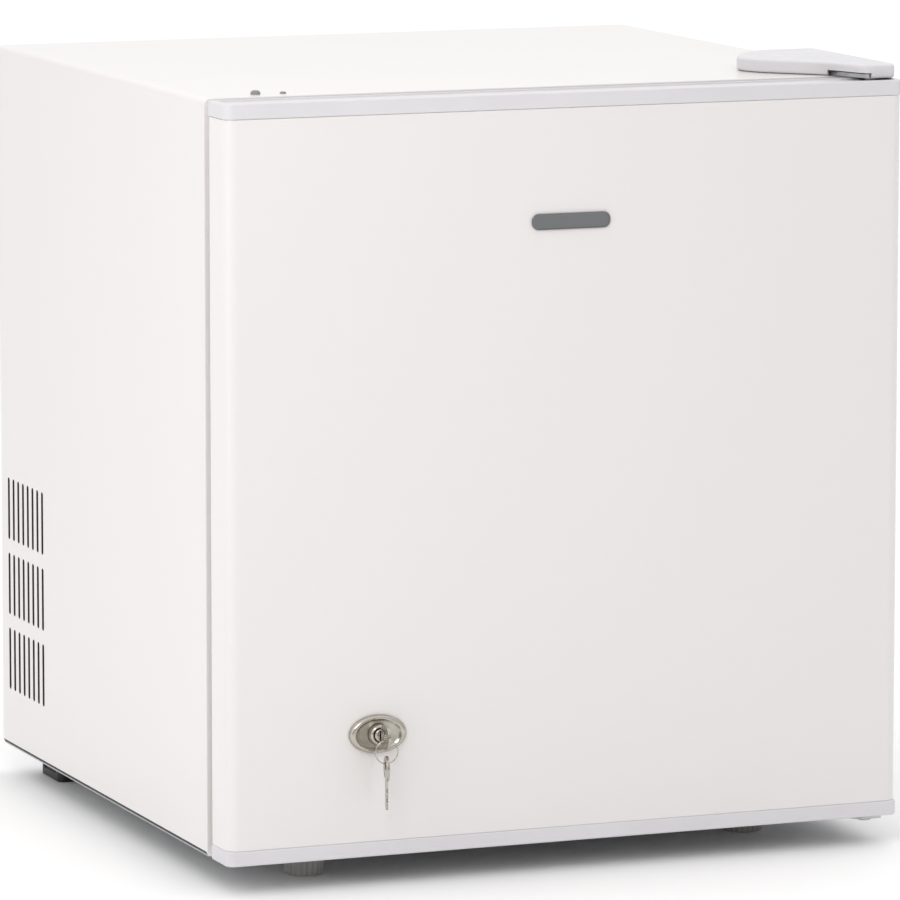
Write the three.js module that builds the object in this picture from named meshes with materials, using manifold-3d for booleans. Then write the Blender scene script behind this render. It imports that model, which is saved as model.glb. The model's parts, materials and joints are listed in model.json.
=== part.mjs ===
// A small cube refrigerator with a lock: a steel cabinet with its cooling system at the rear, and one
// hinged door. Millimetres, +Z up. +X is to the right of someone who faces the door, and the door faces -Y.
// The origin is on the floor, under the middle of the whole object.
import * as THREE from 'three';
import { mergeVertices } from 'three/addons/utils/BufferGeometryUtils.js';
import Module from 'manifold-3d';

const wasm = await Module();
wasm.setup();

// ---- Driving dimensions -----------------------------------------------------------------------------------

const WIDTH = 450;
const BODY_HEIGHT = 467;
const FOOT_HEIGHT = 19;
const CABINET_DEPTH = 404;
const DOOR_THICKNESS = 30;
const SEAL_SPACE = 8;
const KEY_REACH = 24;

const GAP = 0.3;
const SHEET = 1.2;
const LINER = 1.5;

const SIDE_X = WIDTH / 2;
const BASE_Z = FOOT_HEIGHT;
const TOP_Z = FOOT_HEIGHT + BODY_HEIGHT;
const DEPTH = KEY_REACH + DOOR_THICKNESS + SEAL_SPACE + CABINET_DEPTH;
const BACK_Y = DEPTH / 2;
const CABINET_FRONT_Y = BACK_Y - CABINET_DEPTH;
const DOOR_BACK_Y = CABINET_FRONT_Y - SEAL_SPACE;
const DOOR_FRONT_Y = DOOR_BACK_Y - DOOR_THICKNESS;

// Food space, and the compressor chamber under and behind it.
const CAVITY = { halfWidth: 190, floor: 55, top: 450, back: 191 };
const HUMP = { front: 66, top: 246 };
const CHAMBER = { front: 100, top: 212 };
const MOUTH = { halfWidth: 195, bottom: 50, top: 455 };

// Three blocks of upright slots in each side wall of the compressor chamber.
const VENT = { rows: 3, columns: 8, slotWidth: 4, slotHeight: 41.3, pitchY: 9.98, pitchZ: 50.4 };
const VENT_START = { y: 144.5, z: 58.4 };

// Shelf and drip tray run on ribs of the liner.
const RIB = { inner: 182, height: 4, front: -60, back: 185 };
const SHELF = { bottom: 250, wire: 2, front: -45, back: 186, halfWidth: 187, wires: 12 };
const TRAY = { bottom: 318, top: 338, front: -25, back: 184, halfWidth: 179, lip: 187, halfGrip: 60 };

// Ice box.
const ICE = { left: -185, right: 115, front: -28, back: 188, bottom: 348, top: 442, wall: 1.5 };
const FLAP = { axisY: -40, axisZ: 433, left: -175, right: 105, bottom: 351, thickness: 3 };

// Plugs in the screw holes for a hinge on the left.
const SPARE_PLUGS = [
  { x: -186, y: CABINET_FRONT_Y + 15, radius: 3, rise: 2.2 },
  { x: -168.5, y: CABINET_FRONT_Y + 14, radius: 2, rise: 1 },
];
const PLUG_STEM = { radius: 1.4, depth: 5, slack: 0.3 };

const DIAL = { x: 157, z: 423, front: 4, radius: 18 };

// Door.
const EDGE_RADIUS = 8;
const CAP_RADIUS = 5.5;
const CAP_HEIGHT = 9.5;
const DOOR_SLACK = 0.5;
const DOOR_LOW = BASE_Z + DOOR_SLACK;
const DOOR_HIGH = TOP_Z - DOOR_SLACK;
const SKIN_INSET = 0.4;
const SKIN = 1;
const DYKE = { outer: 180, inner: 168, bottom: 112, top: 434, back: -149, rim: 12 };
const GASKET = { outerX: 209, innerX: 196, low: 35, high: 470, band: 13 };
const RACK = { halfWidth: 166, back: -88, wall: 2.2 };
const BOTTLE_RACK = { low: DYKE.bottom + DYKE.rim + GAP, high: 186, window: [150, 172] };
const CAN_RACK = { low: 262, high: 304, window: [276, 292] };
const BADGE = { halfLength: 26, halfHeight: 5, z: BASE_Z + 387.5, corner: 4.5, rise: 1 };
const PIN = { x: 209, y: DOOR_FRONT_Y + 16, radius: 4, bore: 4.4 };

// Lock, key, ring and spare key.
const LOCK = { x: -127.5, z: BASE_Z + 77, barrel: 6.5, bore: 4.4, plug: 4 };
const LOCK_PLATE = { halfLength: 18.75, halfHeight: 12, rise: 3.4, bevel: 1.4, rim: 2.6, dish: 2.4, floor: 6 };
const NUT = { radius: 10, thickness: 5 };
const CAM = { depth: 17, tail: 8, reach: 37, halfHeight: 7, thickness: 2.5, hole: 3.3 };
const KEY = { bowRadius: 8, hole: 2.5, holeToEdge: 6, thickness: 1.8, length: 33.5 };
const RING = { radius: 7.05, wire: 0.7 };

// Feet, by their middles.
const FRONT_FOOT = { left: { x: -154, y: DOOR_FRONT_Y + 58 }, right: { x: 154, y: DOOR_FRONT_Y + 82 } };
const FOOT = { radius: 12.5, height: 15, ribs: 20, stud: 4, studTop: 36 };
const REAR_FOOT = { outerX: 204, innerX: 176, front: DOOR_FRONT_Y + 388, back: DOOR_FRONT_Y + 426 };

// Compressor chamber. The can's profile is its share of the radius, and the height over its feet.
const COMPRESSOR = { x: -40, y: 168, z: 33.1, radius: 50, stretch: 1.25, height: 122, footX: 68, footY: 36 };
const CAN_PROFILE = [[0, 0], [0.6, 2], [0.88, 14], [1, 40], [1, 74], [0.95, 92], [0.76, 110], [0.4, 120]];
const GROMMET = { bore: 3.5, flange: 9, neck: 6.5, head: 8 };
const RELAY = { offset: 2, width: 30, halfDepth: 24, low: 62, high: 118, corner: 5 };
const EVAPORATION_TRAY = { halfX: 70, halfY: 48, height: 24, wall: 2 };
const DRIER = { x: 96, y: 196, low: 62, high: 160, tube: 4, radius: 10 };
const DISCHARGE_ROUTE = [
  [-103.5, 168, 82], [-122, 168, 84], [-136, 168, 104], [-138, 170, 150], [-138, 176, 209],
];
const SUCTION_ROUTE = [[-100, 150, 70], [-122, 150, 70], [-160, 150, 78], [-174, 150, 110], [-176, 156, 209]];

// ---- Shape helpers ----------------------------------------------------------------------------------------

function toSolid(geometry) {
  const bare = geometry.clone();
  bare.deleteAttribute('normal');
  bare.deleteAttribute('uv');
  const merged = mergeVertices(bare, 1e-3);
  const corners = [];
  for (let i = 0; i < merged.index.count; i += 3) {
    const [a, b, c] = [0, 1, 2].map((k) => merged.index.getX(i + k));
    if (a !== b && b !== c && c !== a) corners.push(a, b, c);
  }
  return new wasm.Manifold(new wasm.Mesh({
    numProp: 3,
    vertProperties: new Float32Array(merged.attributes.position.array),
    triVerts: new Uint32Array(corners),
  }));
}

function toGeometry(solid) {
  const mesh = solid.getMesh();
  const geometry = new THREE.BufferGeometry();
  geometry.setAttribute('position', new THREE.BufferAttribute(new Float32Array(mesh.vertProperties), 3));
  geometry.setIndex(new THREE.BufferAttribute(new Uint32Array(mesh.triVerts), 1));
  geometry.computeVertexNormals();
  return geometry;
}

function join(...pieces) {
  return toGeometry(pieces.map(toSolid).reduce((all, next) => all.add(next)));
}

function cut(base, ...tools) {
  return toGeometry(tools.map(toSolid).reduce((left, tool) => left.subtract(tool), toSolid(base)));
}

// Box from its lowest to its highest corner.
function block(low, high) {
  const size = low.map((value, i) => high[i] - value);
  const middle = low.map((value, i) => (high[i] + value) / 2);
  return new THREE.BoxGeometry(...size).translate(...middle);
}

// Prisms of an outline: along Z from (x, y), along Y from (x, z), along X from (y, z).
function prismZ(shape, low, high, segments = 6) {
  const options = { depth: high - low, bevelEnabled: false, curveSegments: segments };
  return new THREE.ExtrudeGeometry(shape, options).translate(0, 0, low);
}

function prismY(shape, low, high, segments = 6) {
  return prismZ(shape, 0, high - low, segments).rotateX(Math.PI / 2).translate(0, high, 0);
}

function prismX(shape, low, high, segments = 6) {
  return prismZ(shape, 0, high - low, segments)
    .rotateX(Math.PI / 2)
    .rotateZ(Math.PI / 2)
    .translate(low, 0, 0);
}

// Closed outline through the points, with each corner rounded off.
function outline(points, radius = 0) {
  const shape = new THREE.Shape();
  const corners = points.map(([x, y]) => new THREE.Vector2(x, y));
  corners.forEach((corner, i) => {
    const before = corners[(i + corners.length - 1) % corners.length];
    const after = corners[(i + 1) % corners.length];
    const r = Array.isArray(radius) ? radius[i] : radius;
    const enter = corner.clone().add(before.clone().sub(corner).setLength(r || 1));
    const leave = corner.clone().add(after.clone().sub(corner).setLength(r || 1));
    const start = r ? enter : corner;
    if (i === 0) shape.moveTo(start.x, start.y);
    else shape.lineTo(start.x, start.y);
    if (r) shape.quadraticCurveTo(corner.x, corner.y, leave.x, leave.y);
  });
  shape.closePath();
  return shape;
}

function rectangle(left, bottom, right, top, radius = 0) {
  return outline([[left, bottom], [right, bottom], [right, top], [left, top]], radius);
}

// Round bar between two points.
function rod(radius, start, end, sides = 16) {
  const from = new THREE.Vector3(...start);
  const along = new THREE.Vector3(...end).sub(from);
  const turn = new THREE.Quaternion().setFromUnitVectors(
    new THREE.Vector3(0, 1, 0),
    along.clone().normalize(),
  );
  const middle = from.clone().addScaledVector(along, 0.5);
  return new THREE.CylinderGeometry(radius, radius, along.length(), sides)
    .applyQuaternion(turn)
    .translate(middle.x, middle.y, middle.z);
}

// Body of revolution about Z, from (radius, height) points.
function turned(profile, sides = 20) {
  const points = profile.map(([r, z]) => new THREE.Vector2(r, z));
  return new THREE.LatheGeometry(points, sides).rotateX(Math.PI / 2);
}

// Closed ring of a rectangular section about Z.
function sleeve(inner, outer, low, high, sides = 24) {
  return turned([[inner, low], [outer, low], [outer, high], [inner, high], [inner, low]], sides);
}

// Tube through a list of points.
function tube(points, radius, steps, sides = 8) {
  const path = new THREE.CatmullRomCurve3(points.map((p) => new THREE.Vector3(...p)), false, 'centripetal');
  const section = new THREE.Shape();
  section.absarc(0, 0, radius, 0, 2 * Math.PI);
  const options = { steps, extrudePath: path, curveSegments: sides / 2, bevelEnabled: false };
  return new THREE.ExtrudeGeometry(section, options);
}

// ---- Materials --------------------------------------------------------------------------------------------

function material(color, roughness, metalness = 0) {
  return () => new THREE.MeshStandardMaterial({ color, roughness, metalness });
}

const whitePaint = material(0xeeece9, 0.35);
const whitePlastic = material(0xe9e8ea, 0.45);
const linerPlastic = material(0xf2f2f0, 0.4);
const clearPlastic = material(0xdfe8ec, 0.15);
const foamYellow = material(0xe3d29a, 0.95);
const galvanised = material(0xb9bcbf, 0.45, 0.9);
const blackPaint = material(0x1b1b1c, 0.5, 0.3);
const blackPlastic = material(0x222224, 0.55);
const blackRubber = material(0x2b2b2c, 0.85);
const whiteRubber = material(0xe2e1dd, 0.7);
const greyPlastic = material(0x9b9a98, 0.6);
const copper = material(0xb8734a, 0.35, 1);
const aluminium = material(0xc9cccf, 0.35, 1);
const chrome = material(0xd9d8d5, 0.12, 1);
const whiteWire = material(0xecebe8, 0.4);
const silverBadge = material(0xb7b9bb, 0.3, 0.9);

const fridge = new THREE.Group();

function place(name, geometry, makeMaterial) {
  const mesh = new THREE.Mesh(geometry, makeMaterial());
  mesh.name = name;
  fridge.add(mesh);
}

// ---- Cabinet shell and insulation -------------------------------------------------------------------------

function slotShape(y, z) {
  return rectangle(y, z, y + VENT.slotWidth, z + VENT.slotHeight, VENT.slotWidth * 0.45);
}

function ventCutters() {
  const cutters = [];
  for (let row = 0; row < VENT.rows; row += 1) {
    for (let column = 0; column < VENT.columns; column += 1) {
      const y = VENT_START.y + column * VENT.pitchY;
      const z = VENT_START.z + row * VENT.pitchZ;
      cutters.push(prismX(slotShape(y, z), -SIDE_X - 5, -SIDE_X + 5, 1));
      cutters.push(prismX(slotShape(y, z), SIDE_X - 5, SIDE_X + 5, 1));
    }
  }
  return cutters;
}

// One sheet folded over both sides and the top, with a front frame for the door's magnet.
function outerShell() {
  const edge = 4;
  const inside = SIDE_X - SHEET;
  const whole = prismY(rectangle(-SIDE_X, BASE_Z, SIDE_X, TOP_Z, edge), CABINET_FRONT_Y, BACK_Y, 4);
  const room = block([-inside, CABINET_FRONT_Y + SHEET, 0], [inside, BACK_Y + 10, TOP_Z - SHEET]);
  const mouth = block(
    [-MOUTH.halfWidth, CABINET_FRONT_Y - 10, MOUTH.bottom],
    [MOUTH.halfWidth, CABINET_FRONT_Y + 10, MOUTH.top],
  );
  return cut(whole, room, mouth, ...ventCutters(), ...plugHoles());
}

function plugHoles() {
  const { radius, depth, slack } = PLUG_STEM;
  const low = TOP_Z - depth - slack;
  return SPARE_PLUGS.map(({ x, y }) => rod(radius + slack, [x, y, low], [x, y, TOP_Z + 1], 10));
}

// Button head on a stem that stops in the insulation.
function sparePlug({ x, y, radius, rise }) {
  const { radius: stem, depth } = PLUG_STEM;
  const seat = TOP_Z + GAP / 2;
  return turned([
    [0, TOP_Z - depth], [stem, TOP_Z - depth], [stem, seat], [radius, seat], [radius, seat + rise * 0.5],
    [radius * 0.6, seat + rise], [0, seat + rise],
  ], 12).translate(x, y, 0);
}

// Side outline of the food space, grown outwards by a distance.
function cavityOutline(grow, frontY, radius) {
  return outline([
    [frontY, CAVITY.floor - grow],
    [HUMP.front + grow, CAVITY.floor - grow],
    [HUMP.front + grow, HUMP.top - grow],
    [CAVITY.back + grow, HUMP.top - grow],
    [CAVITY.back + grow, CAVITY.top + grow],
    [frontY, CAVITY.top + grow],
  ], [0, radius + grow, radius - grow, radius + grow, radius + grow, 0]);
}

function cavityBlock(grow, frontY) {
  const halfWidth = CAVITY.halfWidth + grow;
  return prismX(cavityOutline(grow, frontY, 10), -halfWidth, halfWidth, 3);
}

const FLOOR_INSIDE_Z = BASE_Z + SHEET + GAP;
const BACK_INSIDE_Y = BACK_Y - 2 * SHEET - GAP;
const LINED = LINER + GAP;

function condenserRoute(side) {
  const x = side * (SIDE_X - SHEET - 2.6);
  const [front, back] = [-120, 80];
  const points = [];
  for (let run = 0; run < 4; run += 1) {
    const z = 250 + run * 62;
    const ends = run % 2 ? [front, back] : [back, front];
    points.push([x, ends[0], z], [x, (front + back) / 2, z], [x, ends[1], z]);
  }
  return points;
}

function condenserCoil(side) {
  return tube(condenserRoute(side), 2.4, 48, 6);
}

function cabinetFoam() {
  const halfWidth = SIDE_X - SHEET - GAP;
  const chamberFront = CHAMBER.front - GAP;
  const wells = [
    rod(6, [FRONT_FOOT.left.x, FRONT_FOOT.left.y, 0], [FRONT_FOOT.left.x, FRONT_FOOT.left.y, 42]),
    rod(6, [FRONT_FOOT.right.x, FRONT_FOOT.right.y, 0], [FRONT_FOOT.right.x, FRONT_FOOT.right.y, 42]),
  ];
  return cut(
    block(
      [-halfWidth, CABINET_FRONT_Y + LINED, FLOOR_INSIDE_Z],
      [halfWidth, BACK_INSIDE_Y, TOP_Z - SHEET - GAP],
    ),
    cavityBlock(LINED, CABINET_FRONT_Y - 20),
    block([-WIDTH, chamberFront, 0], [WIDTH, BACK_Y + 10, CHAMBER.top + GAP]),
    tube(condenserRoute(-1), 3, 48, 6),
    tube(condenserRoute(1), 3, 48, 6),
    ...wells,
    ...plugHoles(),
  );
}

// Vacuum-formed liner: the cavity walls, a front flange, and the ribs of the shelf and drip tray.
function innerLiner() {
  const flange = block(
    [-MOUTH.halfWidth + GAP, CABINET_FRONT_Y, MOUTH.bottom + GAP],
    [MOUTH.halfWidth - GAP, CABINET_FRONT_Y + LINER, MOUTH.top - GAP],
  );
  const ribs = [];
  for (const top of [SHELF.bottom, TRAY.top - 2]) {
    for (const side of [-1, 1]) {
      const [near, far] = [side * RIB.inner, side * (CAVITY.halfWidth + 1)];
      ribs.push(block(
        [Math.min(near, far), RIB.front, top - GAP - RIB.height],
        [Math.max(near, far), RIB.back, top - GAP],
      ));
    }
  }
  const walls = cut(join(cavityBlock(LINER, CABINET_FRONT_Y), flange), cavityBlock(0, CABINET_FRONT_Y - 20));
  return join(walls, ...ribs);
}

function chamberPanel() {
  const [front, top, end] = [CHAMBER.front, CHAMBER.top, BACK_INSIDE_Y];
  const side = outline([
    [front, BASE_Z + 2 * SHEET + 2 * GAP],
    [front + SHEET, BASE_Z + 2 * SHEET + 2 * GAP],
    [front + SHEET, top - SHEET],
    [end, top - SHEET],
    [end, top],
    [front, top],
  ]);
  const halfWidth = SIDE_X - SHEET - GAP;
  return prismX(side, -halfWidth, halfWidth);
}

function backPanel() {
  const halfWidth = SIDE_X - SHEET - GAP;
  return block(
    [-halfWidth, BACK_Y - 2 * SHEET, CHAMBER.top - 10],
    [halfWidth, BACK_Y - SHEET, TOP_Z - SHEET - GAP],
  );
}

function bottomPanel() {
  const halfWidth = SIDE_X - SHEET - GAP;
  return cut(
    block([-halfWidth, CABINET_FRONT_Y + SHEET + GAP, BASE_Z], [halfWidth, CHAMBER.front, BASE_Z + SHEET]),
    rod(5, [FRONT_FOOT.left.x, FRONT_FOOT.left.y, 0], [FRONT_FOOT.left.x, FRONT_FOOT.left.y, 42]),
    rod(5, [FRONT_FOOT.right.x, FRONT_FOOT.right.y, 0], [FRONT_FOOT.right.x, FRONT_FOOT.right.y, 42]),
  );
}

// ---- Compressor chamber -----------------------------------------------------------------------------------

const BASE_PLATE_TOP = BASE_Z + 1.5;
const GROMMET_TOP = COMPRESSOR.z - GAP;
const LIP_Y = BACK_Y - 2.5;
const GLAND = { x: 190, z: 34 };

function compressorCorner(i) {
  const x = COMPRESSOR.x + (i % 2 ? 1 : -1) * COMPRESSOR.footX;
  const y = COMPRESSOR.y + (i > 1 ? 1 : -1) * COMPRESSOR.footY;
  return [x, y];
}

const CORNERS = [0, 1, 2, 3].map(compressorCorner);

// Base plate with a folded rear lip and the four studs that hold the compressor.
function compressorBase() {
  const halfWidth = SIDE_X - SHEET - GAP;
  const lipTop = BASE_Z + 30;
  const section = outline([
    [CHAMBER.front + GAP, BASE_Z],
    [LIP_Y + 1.5, BASE_Z],
    [LIP_Y + 1.5, lipTop],
    [LIP_Y, lipTop],
    [LIP_Y, BASE_PLATE_TOP],
    [CHAMBER.front + GAP, BASE_PLATE_TOP],
  ]);
  const plate = join(
    prismX(section, -halfWidth, halfWidth),
    ...CORNERS.map(([x, y]) => rod(3, [x, y, BASE_Z + 0.5], [x, y, COMPRESSOR.z + 6], 10)),
  );
  return cut(plate, rod(8, [GLAND.x, LIP_Y - 5, GLAND.z], [GLAND.x, LIP_Y + 5, GLAND.z]));
}

function compressorHousing() {
  const { x, y, z, radius, stretch, height, footX, footY } = COMPRESSOR;
  const profile = [...CAN_PROFILE.map(([share, rise]) => [share * radius, rise]), [0, height]];
  const dome = turned(profile, 24).scale(stretch, 1, 1).translate(x, y, z);
  const feet = prismZ(
    rectangle(x - footX - 12, y - footY - 10, x + footX + 12, y + footY + 10, 10),
    z,
    z + 2.5,
    3,
  );
  const holes = CORNERS.map(([cx, cy]) => rod(3.6, [cx, cy, z - 5], [cx, cy, z + 9], 10));
  return cut(join(dome, feet), ...holes);
}

function grommet([x, y]) {
  const [low, high] = [BASE_PLATE_TOP + GAP, GROMMET_TOP];
  const { bore, flange, neck, head } = GROMMET;
  const profile = [
    [bore, low], [flange, low], [flange, low + 4], [neck, low + 5.5], [neck, high - 4], [head, high - 2.5],
    [head, high], [bore, high], [bore, low],
  ];
  return turned(profile, 14).translate(x, y, 0);
}

function relayCover() {
  const { offset, width, halfDepth, low, high, corner } = RELAY;
  const x = COMPRESSOR.x + COMPRESSOR.radius * COMPRESSOR.stretch + offset;
  const outline = rectangle(x, COMPRESSOR.y - halfDepth, x + width, COMPRESSOR.y + halfDepth, corner);
  return prismZ(outline, low, high, 3);
}

function openBox(low, high, wall, radius = 4) {
  const whole = prismZ(rectangle(low[0], low[1], high[0], high[1], radius), low[2], high[2], 3);
  const room = prismZ(
    rectangle(low[0] + wall, low[1] + wall, high[0] - wall, high[1] - wall, radius - 1),
    low[2] + wall,
    high[2] + 10,
    3,
  );
  return cut(whole, room);
}

function evaporationTray() {
  const { x, y, z } = COMPRESSOR;
  const { halfX, halfY, height, wall } = EVAPORATION_TRAY;
  const bottom = z + COMPRESSOR.height + GAP;
  return openBox([x - halfX, y - halfY, bottom], [x + halfX, y + halfY, bottom + height], wall);
}

function filterDrier() {
  const { x, y, low, high, tube: neck, radius } = DRIER;
  return turned([
    [0, low], [neck, low], [neck, low + 10], [radius, low + 18], [radius, high - 22], [neck, high - 14],
    [neck, high], [0, high],
  ], 14).translate(x, y, 0);
}

function cableGland() {
  const profile = [
    [3.5, -8], [9, -8], [10.5, -GAP], [7.6, -GAP], [7.6, 1.6], [3.5, 1.6], [3.5, -8],
  ];
  return turned(profile, 16).rotateX(-Math.PI / 2).translate(GLAND.x, LIP_Y, GLAND.z);
}

function dischargeTube() {
  return tube(DISCHARGE_ROUTE, 3, 20, 6);
}

function suctionTube() {
  return tube(SUCTION_ROUTE, 4, 20, 6);
}

// ---- Feet -------------------------------------------------------------------------------------------------

// Ribbed grip moulded round a threaded stud.
function frontFoot({ x, y }) {
  const points = [];
  for (let i = 0; i < 2 * FOOT.ribs; i += 1) {
    const angle = (i * Math.PI) / FOOT.ribs;
    const radius = i % 2 ? FOOT.radius - 0.9 : FOOT.radius;
    points.push([x + radius * Math.cos(angle), y + radius * Math.sin(angle)]);
  }
  return join(
    prismZ(outline(points), 0, FOOT.height),
    rod(FOOT.stud, [x, y, FOOT.height - 2], [x, y, FOOT.studTop], 12),
  );
}

function rearFoot(side) {
  const [near, far] = [REAR_FOOT.innerX, REAR_FOOT.outerX].map((x) => side * x).sort((a, b) => a - b);
  return prismZ(rectangle(near, REAR_FOOT.front, far, REAR_FOOT.back, 4), 0, BASE_Z - GAP, 3);
}

// ---- Inside the food space --------------------------------------------------------------------------------

// Roll-bonded aluminium box, open at the front, hung from the ceiling by two folded tabs.
function evaporator() {
  const { left, right, front, back, bottom, top, wall } = ICE;
  const whole = prismY(rectangle(left, bottom, right, top, 6), front, back, 3);
  const room = prismY(
    rectangle(left + wall, bottom + wall, right - wall, top - wall, 5),
    front - 10,
    back - wall,
    3,
  );
  const tabs = [front + 30, back - 40].map((y) => block(
    [left + 20, y, top - 0.8],
    [right - 20, y + 12, CAVITY.top - GAP],
  ));
  return join(cut(whole, room), ...tabs);
}

const FRAME_FACE_Y = ICE.front - GAP - 5.7;

// Plastic surround of the ice box, with two ears for the flap's pins.
function iceBoxFrame() {
  const [left, right, low, high] = [ICE.left - 2, ICE.right + 2, ICE.bottom - 3, ICE.top + 3];
  const surround = cut(
    block([left, FRAME_FACE_Y, low], [right, ICE.front - GAP, high]),
    block([FLAP.left, FRAME_FACE_Y - 5, low + 11], [FLAP.right, ICE.front + 5, high - 12]),
  );
  const ears = [[FLAP.left - 5, FLAP.left - 1], [FLAP.right + 1, FLAP.right + 5]].map(([from, to]) => block(
    [from, FLAP.axisY - 6, FLAP.axisZ - 6],
    [to, FRAME_FACE_Y + 1, FLAP.axisZ + 6],
  ));
  const axisHole = rod(
    2.6,
    [FLAP.left - 10, FLAP.axisY, FLAP.axisZ],
    [FLAP.right + 10, FLAP.axisY, FLAP.axisZ],
    12,
  );
  return cut(join(surround, ...ears), axisHole);
}

function iceBoxFlap() {
  const { axisY, axisZ, left, right, bottom, thickness } = FLAP;
  const front = axisY - thickness / 2;
  return join(
    block([left, front, bottom], [right, front + thickness, axisZ + 4]),
    block([left + 90, front - 9, bottom], [right - 90, front + 0.5, bottom + 3]),
    rod(2, [left - 4.5, axisY, axisZ], [right + 4.5, axisY, axisZ], 12),
  );
}

// Shallow tray that catches defrost water, with a lip on both sides that slides on the liner's ribs.
function dripTray() {
  const { bottom, top, front, back, halfWidth, lip, halfGrip } = TRAY;
  const tray = openBox([-halfWidth, front, bottom], [halfWidth, back, top], 2, 2);
  const lips = [[-lip, -halfWidth + 1], [halfWidth - 1, lip]].map(([from, to]) => block(
    [from, front + 8, top - 2],
    [to, back - 8, top],
  ));
  const grip = block([-halfGrip, front - 8, top - 3], [halfGrip, front + 1, top]);
  return join(tray, ...lips, grip);
}

function wireShelf() {
  const { bottom, wire, front, back, halfWidth, wires } = SHELF;
  const z = bottom + wire;
  const side = halfWidth - wire;
  const [near, far] = [front + wire, back - wire];
  const rails = [near, near + 6, (near + far) / 2, far].map((y, i) => rod(
    wire,
    [-side, y, i === 1 ? z + 8 : z],
    [side, y, i === 1 ? z + 8 : z],
    6,
  ));
  const sides = [-side, side].map((x) => block(
    [x - wire, near - wire, bottom],
    [x + wire, far + wire, z + wire],
  ));
  const risers = [-side, side].map((x) => block([x - wire, near + 4, bottom], [x + wire, near + 8, z + 10]));
  const thin = [];
  for (let i = 1; i <= wires; i += 1) {
    const x = -side + (2 * side * i) / (wires + 1);
    thin.push(rod(1.5, [x, near, z], [x, far, z], 6));
  }
  return join(...sides, ...risers, ...rails, ...thin);
}

function thermostatHousing() {
  const body = prismX(
    outline([
      [DIAL.front + 16, CAVITY.top - GAP],
      [DIAL.front + 16, DIAL.z - 26],
      [150, DIAL.z - 12],
      [150, CAVITY.top - GAP],
    ], [3, 6, 6, 3]),
    DIAL.x - 30,
    DIAL.x + 30,
    3,
  );
  return cut(body, rod(3.4, [DIAL.x, DIAL.front, DIAL.z], [DIAL.x, DIAL.front + 28, DIAL.z], 12));
}

// Dial with a raised grip bar, on a short shaft.
function thermostatKnob() {
  const { x, z, front, radius } = DIAL;
  const back = front + 16 - GAP;
  return join(
    rod(radius, [x, front + 6, z], [x, back, z], 28),
    block([x - 3.5, front, z - radius + 2], [x + 3.5, front + 7, z + radius - 2]),
    rod(3, [x, back - 1, z], [x, back + 10, z], 12),
  );
}

// ---- Hinges -----------------------------------------------------------------------------------------------

const TOP_PLATE = { low: TOP_Z + GAP, thickness: 2.5, left: 190, right: 222, back: -106 };
const BOTTOM_PLATE = { high: BASE_Z - GAP, thickness: 2.8, left: 170, right: 222, back: -118 };
const TOP_SCREWS = [[199, -118], [211, -138]];
const BOTTOM_SCREWS = [[182, -156], [210, -132]];

function hingePlate({ left, right, back }, low, high) {
  const front = PIN.y - 6;
  const shape = outline([
    [right, back], [left, back], [left, CABINET_FRONT_Y + 10], [PIN.x - 7, PIN.y - 3], [PIN.x - 4, front],
    [right - 4, front], [right, front + 8],
  ]);
  return prismZ(shape, low, high);
}

function topHingeBracket() {
  const { low, thickness } = TOP_PLATE;
  const plate = join(
    hingePlate(TOP_PLATE, low, low + thickness),
    rod(PIN.radius, [PIN.x, PIN.y, DOOR_HIGH - 14], [PIN.x, PIN.y, low + 1], 20),
  );
  const holes = TOP_SCREWS.map(([x, y]) => rod(2.8, [x, y, low - 5], [x, y, low + 5], 10));
  return cut(plate, ...holes);
}

function bottomHingeBracket() {
  const { high, thickness } = BOTTOM_PLATE;
  const plate = join(
    hingePlate(BOTTOM_PLATE, high - thickness, high),
    rod(PIN.radius, [PIN.x, PIN.y, high - 1], [PIN.x, PIN.y, DOOR_LOW + 14], 20),
  );
  const holes = BOTTOM_SCREWS.map(([x, y]) => rod(2.8, [x, y, high - 8], [x, y, high + 5], 10));
  return cut(plate, ...holes);
}

// Screw with a low head; its shank stays inside the plate's hole.
function screw([x, y], seat, direction) {
  const head = rod(4.6, [x, y, seat + direction * GAP], [x, y, seat + direction * (GAP + 1.9)], 14);
  const shank = rod(2.3, [x, y, seat - direction * 2.3], [x, y, seat + direction * 1], 10);
  return join(head, shank);
}

const COVER = { low: TOP_Z + GAP, high: TOP_Z + 8.5, wall: 1.5, back: DOOR_FRONT_Y + 136 };

function coverOutline(inset) {
  const right = SIDE_X - inset;
  const front = DOOR_FRONT_Y + 7 + inset;
  return outline([
    [right, COVER.back - inset],
    [184 + inset / 2, COVER.back - inset],
    [165 + inset, COVER.back - 17],
    [151 + inset, COVER.back - 44],
    [156 + inset, COVER.back - 62 + inset / 2],
    [190 + inset, front + 32],
    [201 + inset, front],
    [right - 4, front],
    [right, front + 8],
  ], [4, 9, 12, 8, 8, 10, 6, 3, 4]);
}

// Shallow plastic cap over the top bracket, with a slot in its front where the bracket reaches the door.
function hingeCover() {
  const nose = block(
    [PIN.x - 20, DOOR_FRONT_Y - 5, COVER.low - 5],
    [PIN.x - 3, DOOR_FRONT_Y + 38, COVER.low + 3.4],
  );
  return cut(
    prismZ(coverOutline(0), COVER.low, COVER.high, 3),
    prismZ(coverOutline(COVER.wall), COVER.low - 5, COVER.high - COVER.wall, 3),
    nose,
  );
}

// ---- Door -------------------------------------------------------------------------------------------------

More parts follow.
